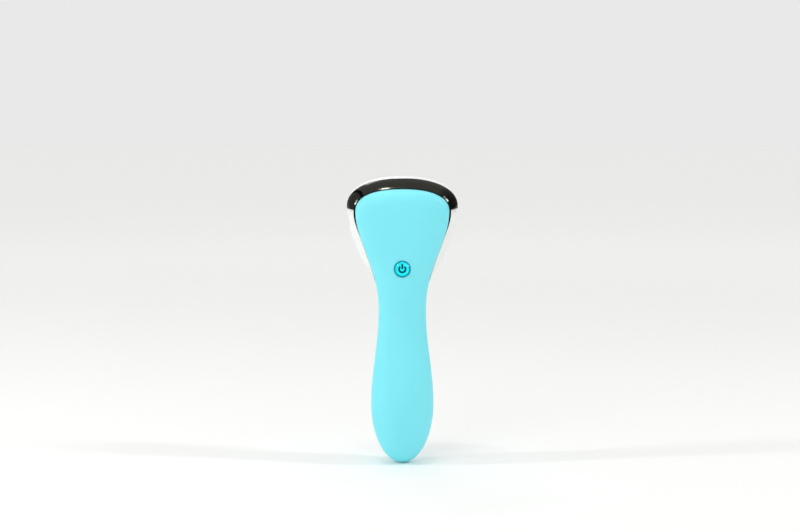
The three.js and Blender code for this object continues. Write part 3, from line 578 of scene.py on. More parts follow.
# Each finish: its colour, by name among the colours or as sRGB hex. How far the colour wanders, and
# the mm from cloud to cloud. The mm from grain to grain, and their depth in mm. Its roughness, from
# and to. Its other sockets.
FINISHES = {
    # Sprayed elastomer over moulded ABS: a satin skin and a broad soft highlight. Its grain of about
    # 0.05 mm is drawn at 0.45 mm.
    "soft_touch_elastomer": (
        "cover", (0.02, 30), (0.45, 0.003), (0.4, 0.46),
        {"IOR": 1.5, "Sheen Weight": 0.45, "Sheen Roughness": 0.45},
    ),
    # ABS from a polished mould: near white, clear reflections that wander a little with its sink
    "gloss_white_abs": ("housing", (0.012, 20), (6, 0.01), (0.16, 0.22), {"IOR": 1.54}),
    # Trivalent dark chrome on polished ABS: a neutral dark mirror, very slightly wavy
    "black_chrome_plating": ("chrome", (0.04, 9), (7, 0.012), (0.05, 0.1), {"Metallic": 1.0}),
    # Deep-dyed acrylic cap: strong colour under a clear hard gloss
    "tinted_gloss_cap": (
        "cap", (0.03, 4), (2.5, 0.003), (0.14, 0.2),
        {"IOR": 1.49, "Specular IOR Level": 0.1, "Coat Weight": 0.4, "Coat Roughness": 0.03},
    ),
    # The same acrylic, dyed darker, with a turned edge that draws a thin line of light
    "tinted_gloss_ring": (
        "ring", (0.04, 3), (2, 0.003), (0.16, 0.24),
        {"IOR": 1.49, "Specular IOR Level": 0.3, "Coat Weight": 0.2, "Coat Roughness": 0.05},
    ),
    # Pad-printed ink: a thin film, nearly matt, with a slightly uneven tone. Its pigment of a few
    # thousandths of a mm is drawn at 0.25 mm.
    "pad_printed_ink": (
        "sign", (0.08, 0.8), (0.25, 0.004), (0.45, 0.6),
        {"IOR": 1.5, "Specular IOR Level": 0.05},
    ),
    # Polished polycarbonate sheet: clear, with the long faint ripple of extruded sheet
    "clear_polycarbonate": (
        "window", (0.01, 20), (16, 0.004), (0.015, 0.03),
        {"IOR": 1.58, "Transmission Weight": 1.0},
    ),
    # Compression-moulded silicone: matt, dusty grey. Its grain of about 0.03 mm is drawn at 0.3 mm.
    "moulded_silicone": ("gasket", (0.05, 5), (0.3, 0.008), (0.55, 0.7), {"IOR": 1.41}),
    # Lamp epoxy, cast clear with a dye: glassy, with the tint gathering in the dome
    "cast_epoxy_blue": (
        "blue_lamp", (0.04, 3), (3, 0.002), (0.03, 0.08),
        {"IOR": 1.54, "Transmission Weight": 0.3},
    ),
    "cast_epoxy_red": (
        "red_lamp", (0.04, 3), (3, 0.002), (0.03, 0.08),
        {"IOR": 1.54, "Transmission Weight": 0.3},
    ),
    # Moulded white polycarbonate: smooth, with a low even gloss
    "moulded_white_reflector": ("F8F9F9", (0.02, 4), (3, 0.006), (0.22, 0.3), {"IOR": 1.53}),
    # Silver-plated stamped frame: bright and soft. Here and on the metals below, rolling and plating
    # leave a grain of a few hundredths of a mm, drawn at 0.15 to 0.8 mm.
    "silver_plated_frame": ("D8D8D4", (0.05, 4), (0.5, 0.003), (0.18, 0.3), {"Metallic": 1.0}),
    # Tin-plated folded sheet: bright, slightly milky
    "tin_plated_steel": ("C9CBCB", (0.05, 4), (0.8, 0.004), (0.22, 0.34), {"Metallic": 1.0}),
    # Glass-filled nylon as moulded: satin black. Its fibres of 0.01 mm are drawn at 0.3 mm.
    "moulded_black_nylon": ("1B1D1F", (0.05, 4), (0.3, 0.006), (0.45, 0.6), {"IOR": 1.53}),
    # Gold flash over nickel: warm and bright
    "gold_plated_contacts": ("E0B45A", (0.05, 4), (0.5, 0.002), (0.2, 0.3), {"Metallic": 1.0}),
    # Solder mask over glass-epoxy board: the weave shows faintly through the gloss
    "white_solder_mask": ("ECEEEC", (0.05, 4), (0.6, 0.01), (0.3, 0.4), {"IOR": 1.5}),
    "green_solder_mask": ("1F6A45", (0.05, 4), (0.6, 0.012), (0.25, 0.4), {"IOR": 1.5}),
    # Transfer-moulded epoxy: matt, with the sand of the mould's spark erosion, drawn at 0.2 mm
    "moulded_black_epoxy": ("202225", (0.05, 4), (0.2, 0.008), (0.5, 0.65), {"IOR": 1.55}),
    # Nylon 66 as moulded: creamy, faintly waxy. Its grain of about 0.03 mm is drawn at 0.5 mm.
    "moulded_cream_nylon": ("E9E2CC", (0.05, 4), (0.5, 0.005), (0.4, 0.5), {"IOR": 1.53}),
    # Zinc-plated steel screws: bright, slightly blue, with a fine grain
    "zinc_plated_steel": ("C4C8CC", (0.05, 4), (0.15, 0.003), (0.25, 0.38), {"Metallic": 1.0}),
    # Heat-shrunk PVC sleeve: satin, with a faint waviness
    "shrunk_pvc_sleeve": ("2F6FB2", (0.05, 4), (2.5, 0.015), (0.3, 0.42), {"IOR": 1.53}),
    # Cross-linked foam: matt, with open cut cells
    "cut_grey_foam": ("777B7E", (0.05, 4), (0.5, 0.12), (0.85, 0.95), {"IOR": 1.45}),
    # Extruded PVC insulation: even and satin. The die's marks of about 0.05 mm are drawn at 0.6 mm.
    "red_pvc_lead": ("B8251F", (0.05, 4), (0.6, 0.006), (0.35, 0.45), {"IOR": 1.53}),
    "black_pvc_lead": ("1C1C1E", (0.05, 4), (0.6, 0.006), (0.35, 0.45), {"IOR": 1.53}),
    "blue_pvc_lead": ("2447A8", (0.05, 4), (0.6, 0.006), (0.35, 0.45), {"IOR": 1.53}),
    # Matt painted board: no gloss and a very faint cloud, so that only the shadow draws on it
    "matt_painted_floor": (
        "floor", (0.003, 300), (2, 0.01), (0.9, 0.98), {"Specular IOR Level": 0.1},
    ),
}
# Nearly all of a noise's values lie between these
NOISE_LOW, NOISE_HIGH = 0.3, 0.7


def add(tree, kind, inputs=None, links=None, **attributes):
    """Adds a node with its attributes, the values of its inputs and the links into them."""
    node = tree.nodes.new(kind)
    for name, value in attributes.items():
        setattr(node, name, value)
    for name, value in (inputs or {}).items():
        node.inputs[name].default_value = value
    for name, source in (links or {}).items():
        tree.links.new(source, node.inputs[name])
    return node


def finish(name):
    """A surface with a faint cloud in its colour and its gloss, and a grain in its relief."""
    if name in bpy.data.materials:
        return bpy.data.materials[name]
    tint, (wander, cloud_size), (grain_size, grain_depth), rough, shader = FINISHES[name]
    colours = vars(settings("paddle_colours"))
    base = colours[tint] if tint in colours else linear(tint)
    if "Sheen Weight" in shader:
        shader = {**shader, "Sheen Tint": (*base, 1.0)}
    material = bpy.data.materials.new(name)
    material.use_nodes = True
    tree = material.node_tree
    tree.nodes.clear()
    place = add(tree, "ShaderNodeTexCoord").outputs["Object"]
    noises = []
    for size, coarseness in ((cloud_size, 0.5), (grain_size, 0.6)):
        values = {"Scale": 1 / (size * MM), "Detail": 2.0, "Roughness": coarseness}
        noises.append(add(tree, "ShaderNodeTexNoise", values, {"Vector": place}).outputs["Fac"])
    cloud, grain = noises
    tone = add(tree, "ShaderNodeMix", data_type="RGBA", links={"Factor": cloud})
    # The colours of a mix node are its sockets 6 and 7, and its mixed colour is output 2
    for socket, factor in ((6, 1 - wander), (7, 1 + wander)):
        tone.inputs[socket].default_value = (*(clamp(c * factor, 0, 1) for c in base), 1.0)
    levels = {"From Min": NOISE_LOW, "From Max": NOISE_HIGH, "To Min": rough[0], "To Max": rough[1]}
    gloss = add(tree, "ShaderNodeMapRange", levels, {"Value": cloud})
    depth = {"Strength": 1.0, "Distance": grain_depth * MM}
    relief = add(tree, "ShaderNodeBump", depth, {"Height": grain})
    links = {
        "Base Color": tone.outputs[2],
        "Roughness": gloss.outputs["Result"],
        "Normal": relief.outputs["Normal"],
    }
    surface = add(tree, "ShaderNodeBsdfPrincipled", shader, links)
    add(tree, "ShaderNodeOutputMaterial", links={"Surface": surface.outputs["BSDF"]})
    return material


# Shells


class Shell:
    """One moulded half of the body: an outer and an inner sheet, bridged round their open edges."""

    # Steps along the side and along the end of the outline, and rings from the spine to the outline
    SIDE_STEPS, END_STEPS, RINGS = 132, 30, 30
    # The rings are spaced along a section of this squareness and depth, measured in fine steps, and
    # are crowded towards the rim
    SQUARENESS, DEPTH, FINE, CROWDING = 2.6, 0.5, 400, 1.25
    # The cleared faces round a hole reach less than this past its margin
    HOLE_REACH = 4 * MM

    def __init__(self, face, spine, edge_line):
        self.face, self.spine, self.edge_line = face, spine, edge_line

    def ring_shares(self):
        """Shares of the way from the spine to the outline, closer together towards the rim."""
        power = 2 / self.SQUARENESS
        turns = quarter_turn(self.FINE)
        curve = [(math.sin(t) ** power, self.DEPTH * math.cos(t) ** power, 0) for t in turns]
        line = evenly(curve, self.FINE)
        marks = [1 - (1 - i / self.RINGS) ** self.CROWDING for i in range(self.RINGS + 1)]
        return [line[round(mark * self.FINE)].x for mark in marks]

    def sheet(self, inset):
        """A half of the body's surface: rings that grow from the spine to the outline, mirrored."""
        outline = self.edge_line(inset)
        rows = []
        for share in self.ring_shares():
            row = []
            for spot in outline:
                foot = clamp(spot.y, *self.spine)
                x, height = spot.x * share, lerp(foot, spot.y, share)
                row.append(Vector((x, self.face(x, height, inset), height + TIP)))
            rows.append(row)
        # The rim lies flat on the parting plane, but for the points of a notch, which are marked
        for point, spot in zip(rows[-1], outline):
            if not spot.z:
                point.y = 0.0
        bm = bmesh.new()
        loft(bm, rows)
        everything = bm.verts[:] + bm.edges[:] + bm.faces[:]
        bmesh.ops.mirror(bm, geom=everything, axis="X", merge_dist=MERGE)
        bmesh.ops.remove_doubles(bm, verts=bm.verts[:], dist=MERGE)
        return bm

    def opening(self, bm, inset, height, straight, radius, margin, segments):
        """Opens a round or slot-shaped hole and fits the sheet's faces to its rim."""

        def away(point):
            return math.hypot(max(0.0, abs(point.x) - straight), point.z - TIP - height)

        doomed = [f for f in bm.faces if any(away(v.co) < radius + margin for v in f.verts)]
        bmesh.ops.delete(bm, geom=doomed, context="FACES")
        near = radius + margin + self.HOLE_REACH
        loop = [e for e in open_edges(bm) if away(e.verts[0].co) < near]
        made = bmesh.ops.create_circle(bm, segments=segments, radius=radius, matrix=UPRIGHT)["verts"]
        for vert in made:
            if straight:
                vert.co.x += math.copysign(straight, vert.co.x)
            vert.co.z += height + TIP
            vert.co.y = self.face(vert.co.x, vert.co.z - TIP, inset)
        rim = {e for vert in made for e in vert.link_edges}
        bmesh.ops.bridge_loops(bm, edges=loop + list(rim))

    def solid(self, wall, hole):
        """Both sheets with their hole, bridged into one closed shell."""
        whole = bmesh.new()
        for inset in (0.0, wall):
            part = self.sheet(inset)
            self.opening(part, inset, **hole)
            join(whole, part)
        centre = hole["height"] + TIP
        reach = hole["radius"] + hole["straight"] + MM

        def at_hole(point):
            return abs(point.z - centre) < reach and abs(point.x) < reach

        hole_edges = [e for e in open_edges(whole) if at_hole(e.verts[0].co)]
        bmesh.ops.bridge_loops(whole, edges=hole_edges)
        bmesh.ops.bridge_loops(whole, edges=open_edges(whole))
        face_outwards(whole)
        return whole


def side_line(body, inset, low, high, count):
    """The body's right-hand outline between two heights, evenly spaced, as (half-width, height)."""
    fine = 600
    shares = [(1 - math.cos(math.pi * i / fine)) / 2 for i in range(fine + 1)]
    heights = [lerp(low, high, share) for share in shares]
    return evenly([(body.half_width(h, inset), h, 0) for h in heights], count)


class PADDLE_OT_front_cover(bpy.types.Operator):
    """Builds the front cover, with the button's opening in its neck"""

    bl_idname = "paddle.front_cover"
    bl_label = "Front Cover"

    # Heights above the tip between which the sheet's rings start
    SPINE = (20 * MM, 152 * MM)
    HOLE_MARGIN, HOLE_STEPS = 0.8 * MM, 72

    def execute(self, context):
        body, button = Body(), settings("paddle_button")
        s = body.s
        steps = Shell.SIDE_STEPS + Shell.END_STEPS

        def edge_line(inset):
            line = side_line(body, inset, inset, s.cover_top - inset, steps)
            line[0].x = line[-1].x = 0
            return line

        hole = {
            "height": button.height,
            "straight": 0.0,
            "radius": button.ring_radius + button.ring_fit,
            "margin": self.HOLE_MARGIN,
            "segments": self.HOLE_STEPS,
        }
        bm = Shell(body.front, self.SPINE, edge_line).solid(s.wall, hole)
        soften(bm, s.seam_round, angle=50)
        piece(bm, "front_cover_shell", "soft_touch_elastomer", "front_cover")
        return {"FINISHED"}


class PADDLE_OT_rear_grip(bpy.types.Operator):
    """Builds the rear grip, with the notch that the light head sits in and the charging port"""

    bl_idname = "paddle.rear_grip"
    bl_label = "Rear Grip"

    SPINE = (6 * MM, 98 * MM)
    HOLE_MARGIN, HOLE_STEPS = 0.6 * MM, 56
    # The notch's corner is looked for in steps of this height
    SEARCH_STEP = 0.02 * MM
    NOTCH_STEPS = 300

    def execute(self, context):
        body, socket = Body(), settings("paddle_socket")
        s = body.s
        notch = Head().pick(-s.horn_gap)

        def meets_notch(inset):
            """Height at which the body's outline meets the notch."""
            height = s.horn_top
            while body.half_width(height, inset) < notch.at(height):
                height -= self.SEARCH_STEP
            return height

        def edge_line(inset):
            corner = meets_notch(inset)
            side = side_line(body, inset, inset, corner, Shell.SIDE_STEPS)
            side[0].x = 0
            turns = quarter_turn(self.NOTCH_STEPS)[:-1]
            heights = [lerp(corner, notch.low, math.sin(t)) for t in turns]
            # The 1 marks the notch's points for the sheet
            notch_line = [(notch.at(h), h, 1) for h in heights] + [(0, notch.low, 1)]
            return side + evenly(notch_line, Shell.END_STEPS)[1:]

        radius = socket.thickness / 2 + socket.port_clearance
        hole = {
            "height": socket.height,
            "straight": socket.width / 2 + socket.port_clearance - radius,
            "radius": radius,
            "margin": self.HOLE_MARGIN,
            "segments": self.HOLE_STEPS,
        }
        bm = Shell(body.rear, self.SPINE, edge_line).solid(s.wall, hole)
        soften(bm, s.seam_round, angle=50)
        piece(bm, "rear_grip_shell", "soft_touch_elastomer", "rear_grip")
        return {"FINISHED"}


# Light head


def ring_loft(layers, around, closed=True):
    """A ring, or a disc where it isn't closed, through outlines at their depths."""
    rows = [outline.ring(depth, around) for depth, outline in layers]
    return lofted(rows + rows[:1] if closed else rows)


class PADDLE_OT_light_head(bpy.types.Operator):
    """Builds the white housing, the window's silicone seat and the clear window"""

    bl_idname = "paddle.light_head"
    bl_label = "Light Head"

    # Steps round the head, and over the rounded edge of the housing and of the window
    AROUND, BACK_STEPS, WINDOW_STEPS = 208, 7, 6
    # Extra lines keep the faces flat: this far from an edge, and at these shares of a face's depth
    SUPPORT = 0.5 * MM
    SLOPE_START, SLOPE_MIDDLE, SIDE_LINE = 0.08, 0.5, 0.3
    HOUSING_ROUND, SEAT_ROUND, WINDOW_CHAMFER = 0.25 * MM, 0.1 * MM, 0.2 * MM
    # A ring of faces this wide keeps the window's flat faces apart from its rounded edge
    WINDOW_BORDER = 0.8 * MM

    def execute(self, context):
        head = Head()
        self.housing(head, head.s)
        self.seat(head, head.s)
        self.window(head, head.s)
        return {"FINISHED"}

    def housing(self, head, s):
        rear_wall_front = s.depth - s.rear_wall
        front, shoulder = head.cover_edge(s.front_lip, 0.0), head.shoulder(0.0)
        widest, rebate, opening, inner = (
            head.pick(inset) for inset in (0.0, s.rebate_inset, s.opening_inset, s.wall)
        )
        layers = [
            (s.front, front),
            (s.front + self.SUPPORT, between(front, shoulder, self.SLOPE_START)),
            (
                lerp(s.front, s.shoulder_depth, self.SLOPE_MIDDLE),
                between(front, shoulder, self.SLOPE_MIDDLE),
            ),
            (s.shoulder_depth, shoulder),
            (s.rim_depth, widest),
            (lerp(s.rim_depth, s.depth, self.SIDE_LINE), widest),
            *head.rounded_back(s.depth, s.edge_round, head.pick, self.BACK_STEPS),
            (s.depth, head.pick(s.edge_round + self.SUPPORT)),
            (s.depth, rebate),
            (s.rebate_floor, rebate),
            (s.rebate_floor, opening),
            (rear_wall_front, opening),
            (rear_wall_front, inner),
            (s.rim_depth, inner),
            (s.shoulder_depth, head.shoulder(s.wall)),
            (s.front, head.cover_edge(s.front_lip - s.wall, s.wall)),
        ]
        bm = ring_loft(layers, self.AROUND)
        soften(bm, self.HOUSING_ROUND, angle=40)
        piece(bm, "light_head_shell", "gloss_white_abs", "light_head_housing")

    def seat(self, head, s):
        edge, hole = head.pick(s.rebate_inset + s.window_fit), head.pick(s.opening_inset)
        layers = [
            (s.rebate_floor, edge),
            (s.window_inner, edge),
            (s.window_inner, hole),
            (s.rebate_floor, hole),
        ]
        bm = ring_loft(layers, self.AROUND)
        soften(bm, self.SEAT_ROUND, angle=40, segments=2)
        piece(bm, "window_seat", "moulded_silicone", "window_gasket")

    def window(self, head, s):
        def outline(inset):
            return head.pick(s.rebate_inset + s.window_fit + inset)

        layers = [
            (s.window_inner, outline(self.WINDOW_CHAMFER)),
            (s.window_inner + self.WINDOW_CHAMFER, outline(0.0)),
            *head.rounded_back(s.window_outer, s.window_edge, outline, self.WINDOW_STEPS),
        ]
        bm = ring_loft(layers, self.AROUND, closed=False)
        flats = [f for f in bm.faces if len(f.verts) > 4]
        bmesh.ops.inset_region(bm, faces=flats, thickness=self.WINDOW_BORDER, use_even_offset=True)
        lens = piece(bm, "window_lens", "clear_polycarbonate", "light_window")
        # Light goes through the clear sheet to the tray behind it, as it does through the real one
        lens.visible_shadow = False


# Trim


def over_the_top(outline, depth, end_at, count):
    """An outline's part above a slanted end line, from its left end over the top to its right."""
    fine = 800
    below_end = 4 * MM
    lowest = end_at(0) - below_end
    left = []
    for turn in quarter_turn(fine)[:-1]:
        height = lerp(lowest, outline.high, math.sin(turn))
        width = outline.at(height)
        if height >= end_at(width):
            left.append((-width, depth, height + TIP))
    left.append((0.0, depth, outline.high + TIP))
    return both_sides(evenly(left, count))


class PADDLE_OT_chrome_trim(bpy.types.Operator):
    """Builds the dark chrome trim: the thin hoop round the cover and the band over the crown"""

    bl_idname = "paddle.chrome_trim"
    bl_label = "Chrome Trim"

    # Steps along each half of the hoop and of the band, and across the parts of the band's section
    HOOP_STEPS, BAND_STEPS, NOSE_STEPS, SLOPE_STEPS, EDGE_STEPS = 110, 90, 5, 14, 5
    # Lines close to the facet's two edges keep it flat to the light
    FACET_LINES = (0.06, 0.5, 0.94, 1.0)
    CORNER_ROUND = 0.15 * MM

    def execute(self, context):
        bm = self.hoop()
        join(bm, self.band())
        piece(bm, "trim_band", "black_chrome_plating", "chrome_trim", crease=50)
        return {"FINISHED"}

    def hoop(self):
        head, s = Head(), settings("paddle_trim")
        body = head.body
        start = body.s.horn_top + s.gap
        widest = head.s.height
        band_end = widest - s.end_drop - s.end_slant
        # A little play: the hoop behind the band's edge, and the groove's start behind the rim
        tuck = 0.05 * MM

        def lip(height):
            """How far the hoop shows beside the cover. Under the band it draws back behind it."""
            flare = ease(height, widest - s.flare_start, widest - s.flare_end)
            shown = lerp(s.lip_low, s.lip_high, flare)
            return lerp(shown, s.nose - tuck, ease(height, band_end, band_end + MM))

        # The section: how far out, as a share of the lip and a fixed part, and how deep. Its front
        # is a groove that falls away behind the cover's rim, so it stays dark beside the cyan. It
        # starts from a flat step under the rim, and rises to a small round edge.
        front, step = 0.06 * MM, 0.5 * MM
        slope_middle, lip_front = 0.75 * s.groove, 0.3 * s.groove
        turn_start, turn_end = lip_front + 0.05 * MM, lip_front + 0.16 * MM
        section = [
            (0.0, -s.hoop_inset, s.hoop_depth),
            (0.0, -s.hoop_inset, front),
            (0.0, -step, front),
            (0.0, -tuck, s.groove),
            (0.4, 0.0, slope_middle),
            (0.85, 0.0, lip_front),
            (0.96, 0.0, turn_start),
            (1.0, 0.0, turn_end),
            (1.0, 0.0, s.hoop_depth),
        ]
        rows = []
        for share, fixed, depth in section + section[:1]:
            top = body.s.cover_top + share * lip(body.s.cover_top) + fixed
            leg = []
            for turn in quarter_turn(self.HOOP_STEPS):
                height = lerp(start, top, math.sin(turn))
                width = body.half_width(height, -share * lip(height) - fixed)
                leg.append(Vector((width, depth, height + TIP)))
            rows.append(both_sides(leg))
        return lofted(rows)

    def band(self):
        head, s = Head(), settings("paddle_trim")
        h = head.s

        def front(grow):
            return head.cover_edge(grow, 0.0)

        def back(inset):
            return head.pick(inset - s.stand_off, s.top_short + inset, s.back_squareness)

        def end_at(x):
            """Height of the band's slanted end at a distance from the middle."""
            way_in = (h.half_width - x) / (h.half_width - head.body.s.crown_half_width)
            return h.height - s.end_drop - s.end_slant * way_in

        # From the inner wall over a small round nose to a flat facet, then the long crowned slope
        nose_end = s.nose + s.nose_round
        layers = [(s.hoop_depth, front(s.nose))]
        for turn in quarter_turn(self.NOSE_STEPS):
            nose_depth = s.nose_round - s.nose_round * math.sin(turn)
            layers.append((nose_depth, front(nose_end - s.nose_round * math.cos(turn))))
        slope = math.radians(s.facet_slope)
        for share in self.FACET_LINES:
            way = s.facet * share
            facet_depth = way * math.sin(slope)
            facet_edge = front(nose_end + way * math.cos(slope))
            layers.append((facet_depth, facet_edge))
        slope_end = h.shoulder_depth - s.edge
        for i in range(1, self.SLOPE_STEPS + 1):
            share = i / self.SLOPE_STEPS
            bulge = s.bulge * math.sin(math.pi * share)
            slope_edge = between(facet_edge, back(0.0), share, bulge)
            layers.append((lerp(facet_depth, slope_end, share), slope_edge))
        layers += head.rounded_back(h.shoulder_depth, s.edge, back, self.EDGE_STEPS)[1:]
        # The inner wall lies a gap off the housing's slope
        inner_back = head.shoulder(-s.gap)
        inner_middle = between(front(h.front_lip + s.gap), inner_back, 0.5)
        layers.append((h.shoulder_depth, inner_back))
        layers.append((lerp(s.hoop_depth, h.shoulder_depth, 0.5), inner_middle))
        rows = [over_the_top(outline, depth, end_at, self.BAND_STEPS) for depth, outline in layers]
        bm = lofted(rows + rows[:1])
        soften(bm, self.CORNER_ROUND, angle=50, segments=2)
        return bm


# Lamps


def lamp_centres():
    """Where each lamp stands, from its node in the frame: led_01, led_02 and so on."""
    centres = {}
    for name in sorted(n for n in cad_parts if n.startswith("led_") and n[4:].isdigit()):
        low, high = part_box(name)
        centres[name] = Vector(((low.x + high.x) / 2, 0.0, (low.z + high.z) / 2))
    return centres


def made_verts(geometry):
    return [g for g in geometry if isinstance(g, bmesh.types.BMVert)]


class PADDLE_OT_lamps(bpy.types.Operator):
    """Builds the reflector with its cups, and the lamps with their lead frames"""

    bl_idname = "paddle.lamps"
    bl_label = "Lamps and Reflector"

    # Steps round the tray, a cup of the tray, a lamp and a die cup, and over a lamp's dome
    TRAY_STEPS, CUP_STEPS, LAMP_STEPS, DIE_CUP_STEPS, DOME_STEPS = 160, 40, 40, 20, 12
    TRAY_ROUND, FLANGE_CHAMFER = 0.18 * MM, 0.12 * MM
    # The cup that holds the die, as (radius, height) in mm, and its place beside the lamp's middle
    DIE_CUP = ((0, 0.9), (0.75, 0.9), (1.0, 2.6), (0.85, 2.6), (0.5, 2.2), (0, 2.2))
    DIE_CUP_PLACE = (-0.45 * MM, 0, 0)
    POST_PLACE, POST_SIZE = (1.25 * MM, 1.75 * MM, 0), (0.5 * MM, 1.9 * MM, 0.7 * MM)

    def execute(self, context):
        self.reflector()
        self.lamps()
        return {"FINISHED"}

    def reflector(self):
        head = Head()
        s = head.s
        bm = bmesh.new()
        outer = head.pick(s.reflector_inset).ring(s.reflector_back, self.TRAY_STEPS)[:-1]
        around = [bm.verts.new(p) for p in outer]
        for pair in zip(around, around[1:] + around[:1]):
            bm.edges.new(pair)
        cups = []
        for centre in lamp_centres().values():
            size = {"segments": self.CUP_STEPS, "radius": s.cup_radius}
            place = Matrix.Translation((centre.x, s.reflector_back, centre.z)) @ UPRIGHT
            made = bmesh.ops.create_circle(bm, **size, matrix=place)
            cups.append((centre, made["verts"]))
        bmesh.ops.triangle_fill(bm, use_beauty=True, edges=bm.edges[:])
        cup_floor = s.reflector_back - s.cup_depth
        for centre, verts in cups:
            loop = [e for e in open_edges(bm) if e.verts[0] in verts and e.verts[1] in verts]
            for depth in (cup_floor, s.board_back):
                made = bmesh.ops.extrude_edge_only(bm, edges=loop)["geom"]
                for vert in made_verts(made):
                    out = Vector((vert.co.x - centre.x, 0, vert.co.z - centre.z)).normalized()
                    vert.co = centre + out * s.cup_hole_radius
                    vert.co.y = depth
                loop = [g for g in made if isinstance(g, bmesh.types.BMEdge) and g.is_boundary]
        sides = [e for e in open_edges(bm) if e.verts[0].co.y > s.reflector_back - MERGE]
        for vert in made_verts(bmesh.ops.extrude_edge_only(bm, edges=sides)["geom"]):
            vert.co.y = s.board_back
        bmesh.ops.triangle_fill(bm, use_beauty=True, edges=open_edges(bm))
        face_outwards(bm)
        soften(bm, self.TRAY_ROUND, angle=30, segments=2)
        piece(bm, "reflector_tray", "moulded_white_reflector", "reflector_panel")

    def lamps(self):
        s = settings("paddle_head")
        board = s.board_back
        dome = arc((0, board + s.lamp_barrel), s.lamp_radius, 0, 90, self.DOME_STEPS)
        edge = self.FLANGE_CHAMFER
        wide = s.lamp_radius + s.lamp_flange
        profile = [
            (0, board),
            (wide - edge, board),
            (wide, board + edge),
            (wide, board + s.lamp_flange_height - edge),
            (wide - edge, board + s.lamp_flange_height),
            (s.lamp_radius, board + s.lamp_flange_height),
            *[(max(r, 0), y) for r, y in dome[:-1]],
            (0, board + s.lamp_barrel + s.lamp_radius),
        ]
        die_cup = [(r * MM, board + y * MM) for r, y in self.DIE_CUP]
        frames = bmesh.new()
        for i, (name, centre) in enumerate(lamp_centres().items()):
            tint = "red" if i % 2 else "blue"
            lamp = turned(profile, centre, self.LAMP_STEPS)
            piece(lamp, name.replace("led", "lamp"), f"cast_epoxy_{tint}", name)
            # Lead frame inside the epoxy: a small cup that holds the die, and the post beside it
            cup_centre = centre + Vector(self.DIE_CUP_PLACE)
            join(frames, turned(die_cup, cup_centre, self.DIE_CUP_STEPS))
            post_centre = centre + Vector((0, board, 0)) + Vector(self.POST_PLACE)
            block(frames, post_centre, self.POST_SIZE)
        bmesh.ops.recalc_face_normals(frames, faces=frames.faces[:])
        piece(frames, "lamp_lead_frames", "silver_plated_frame")


# Button


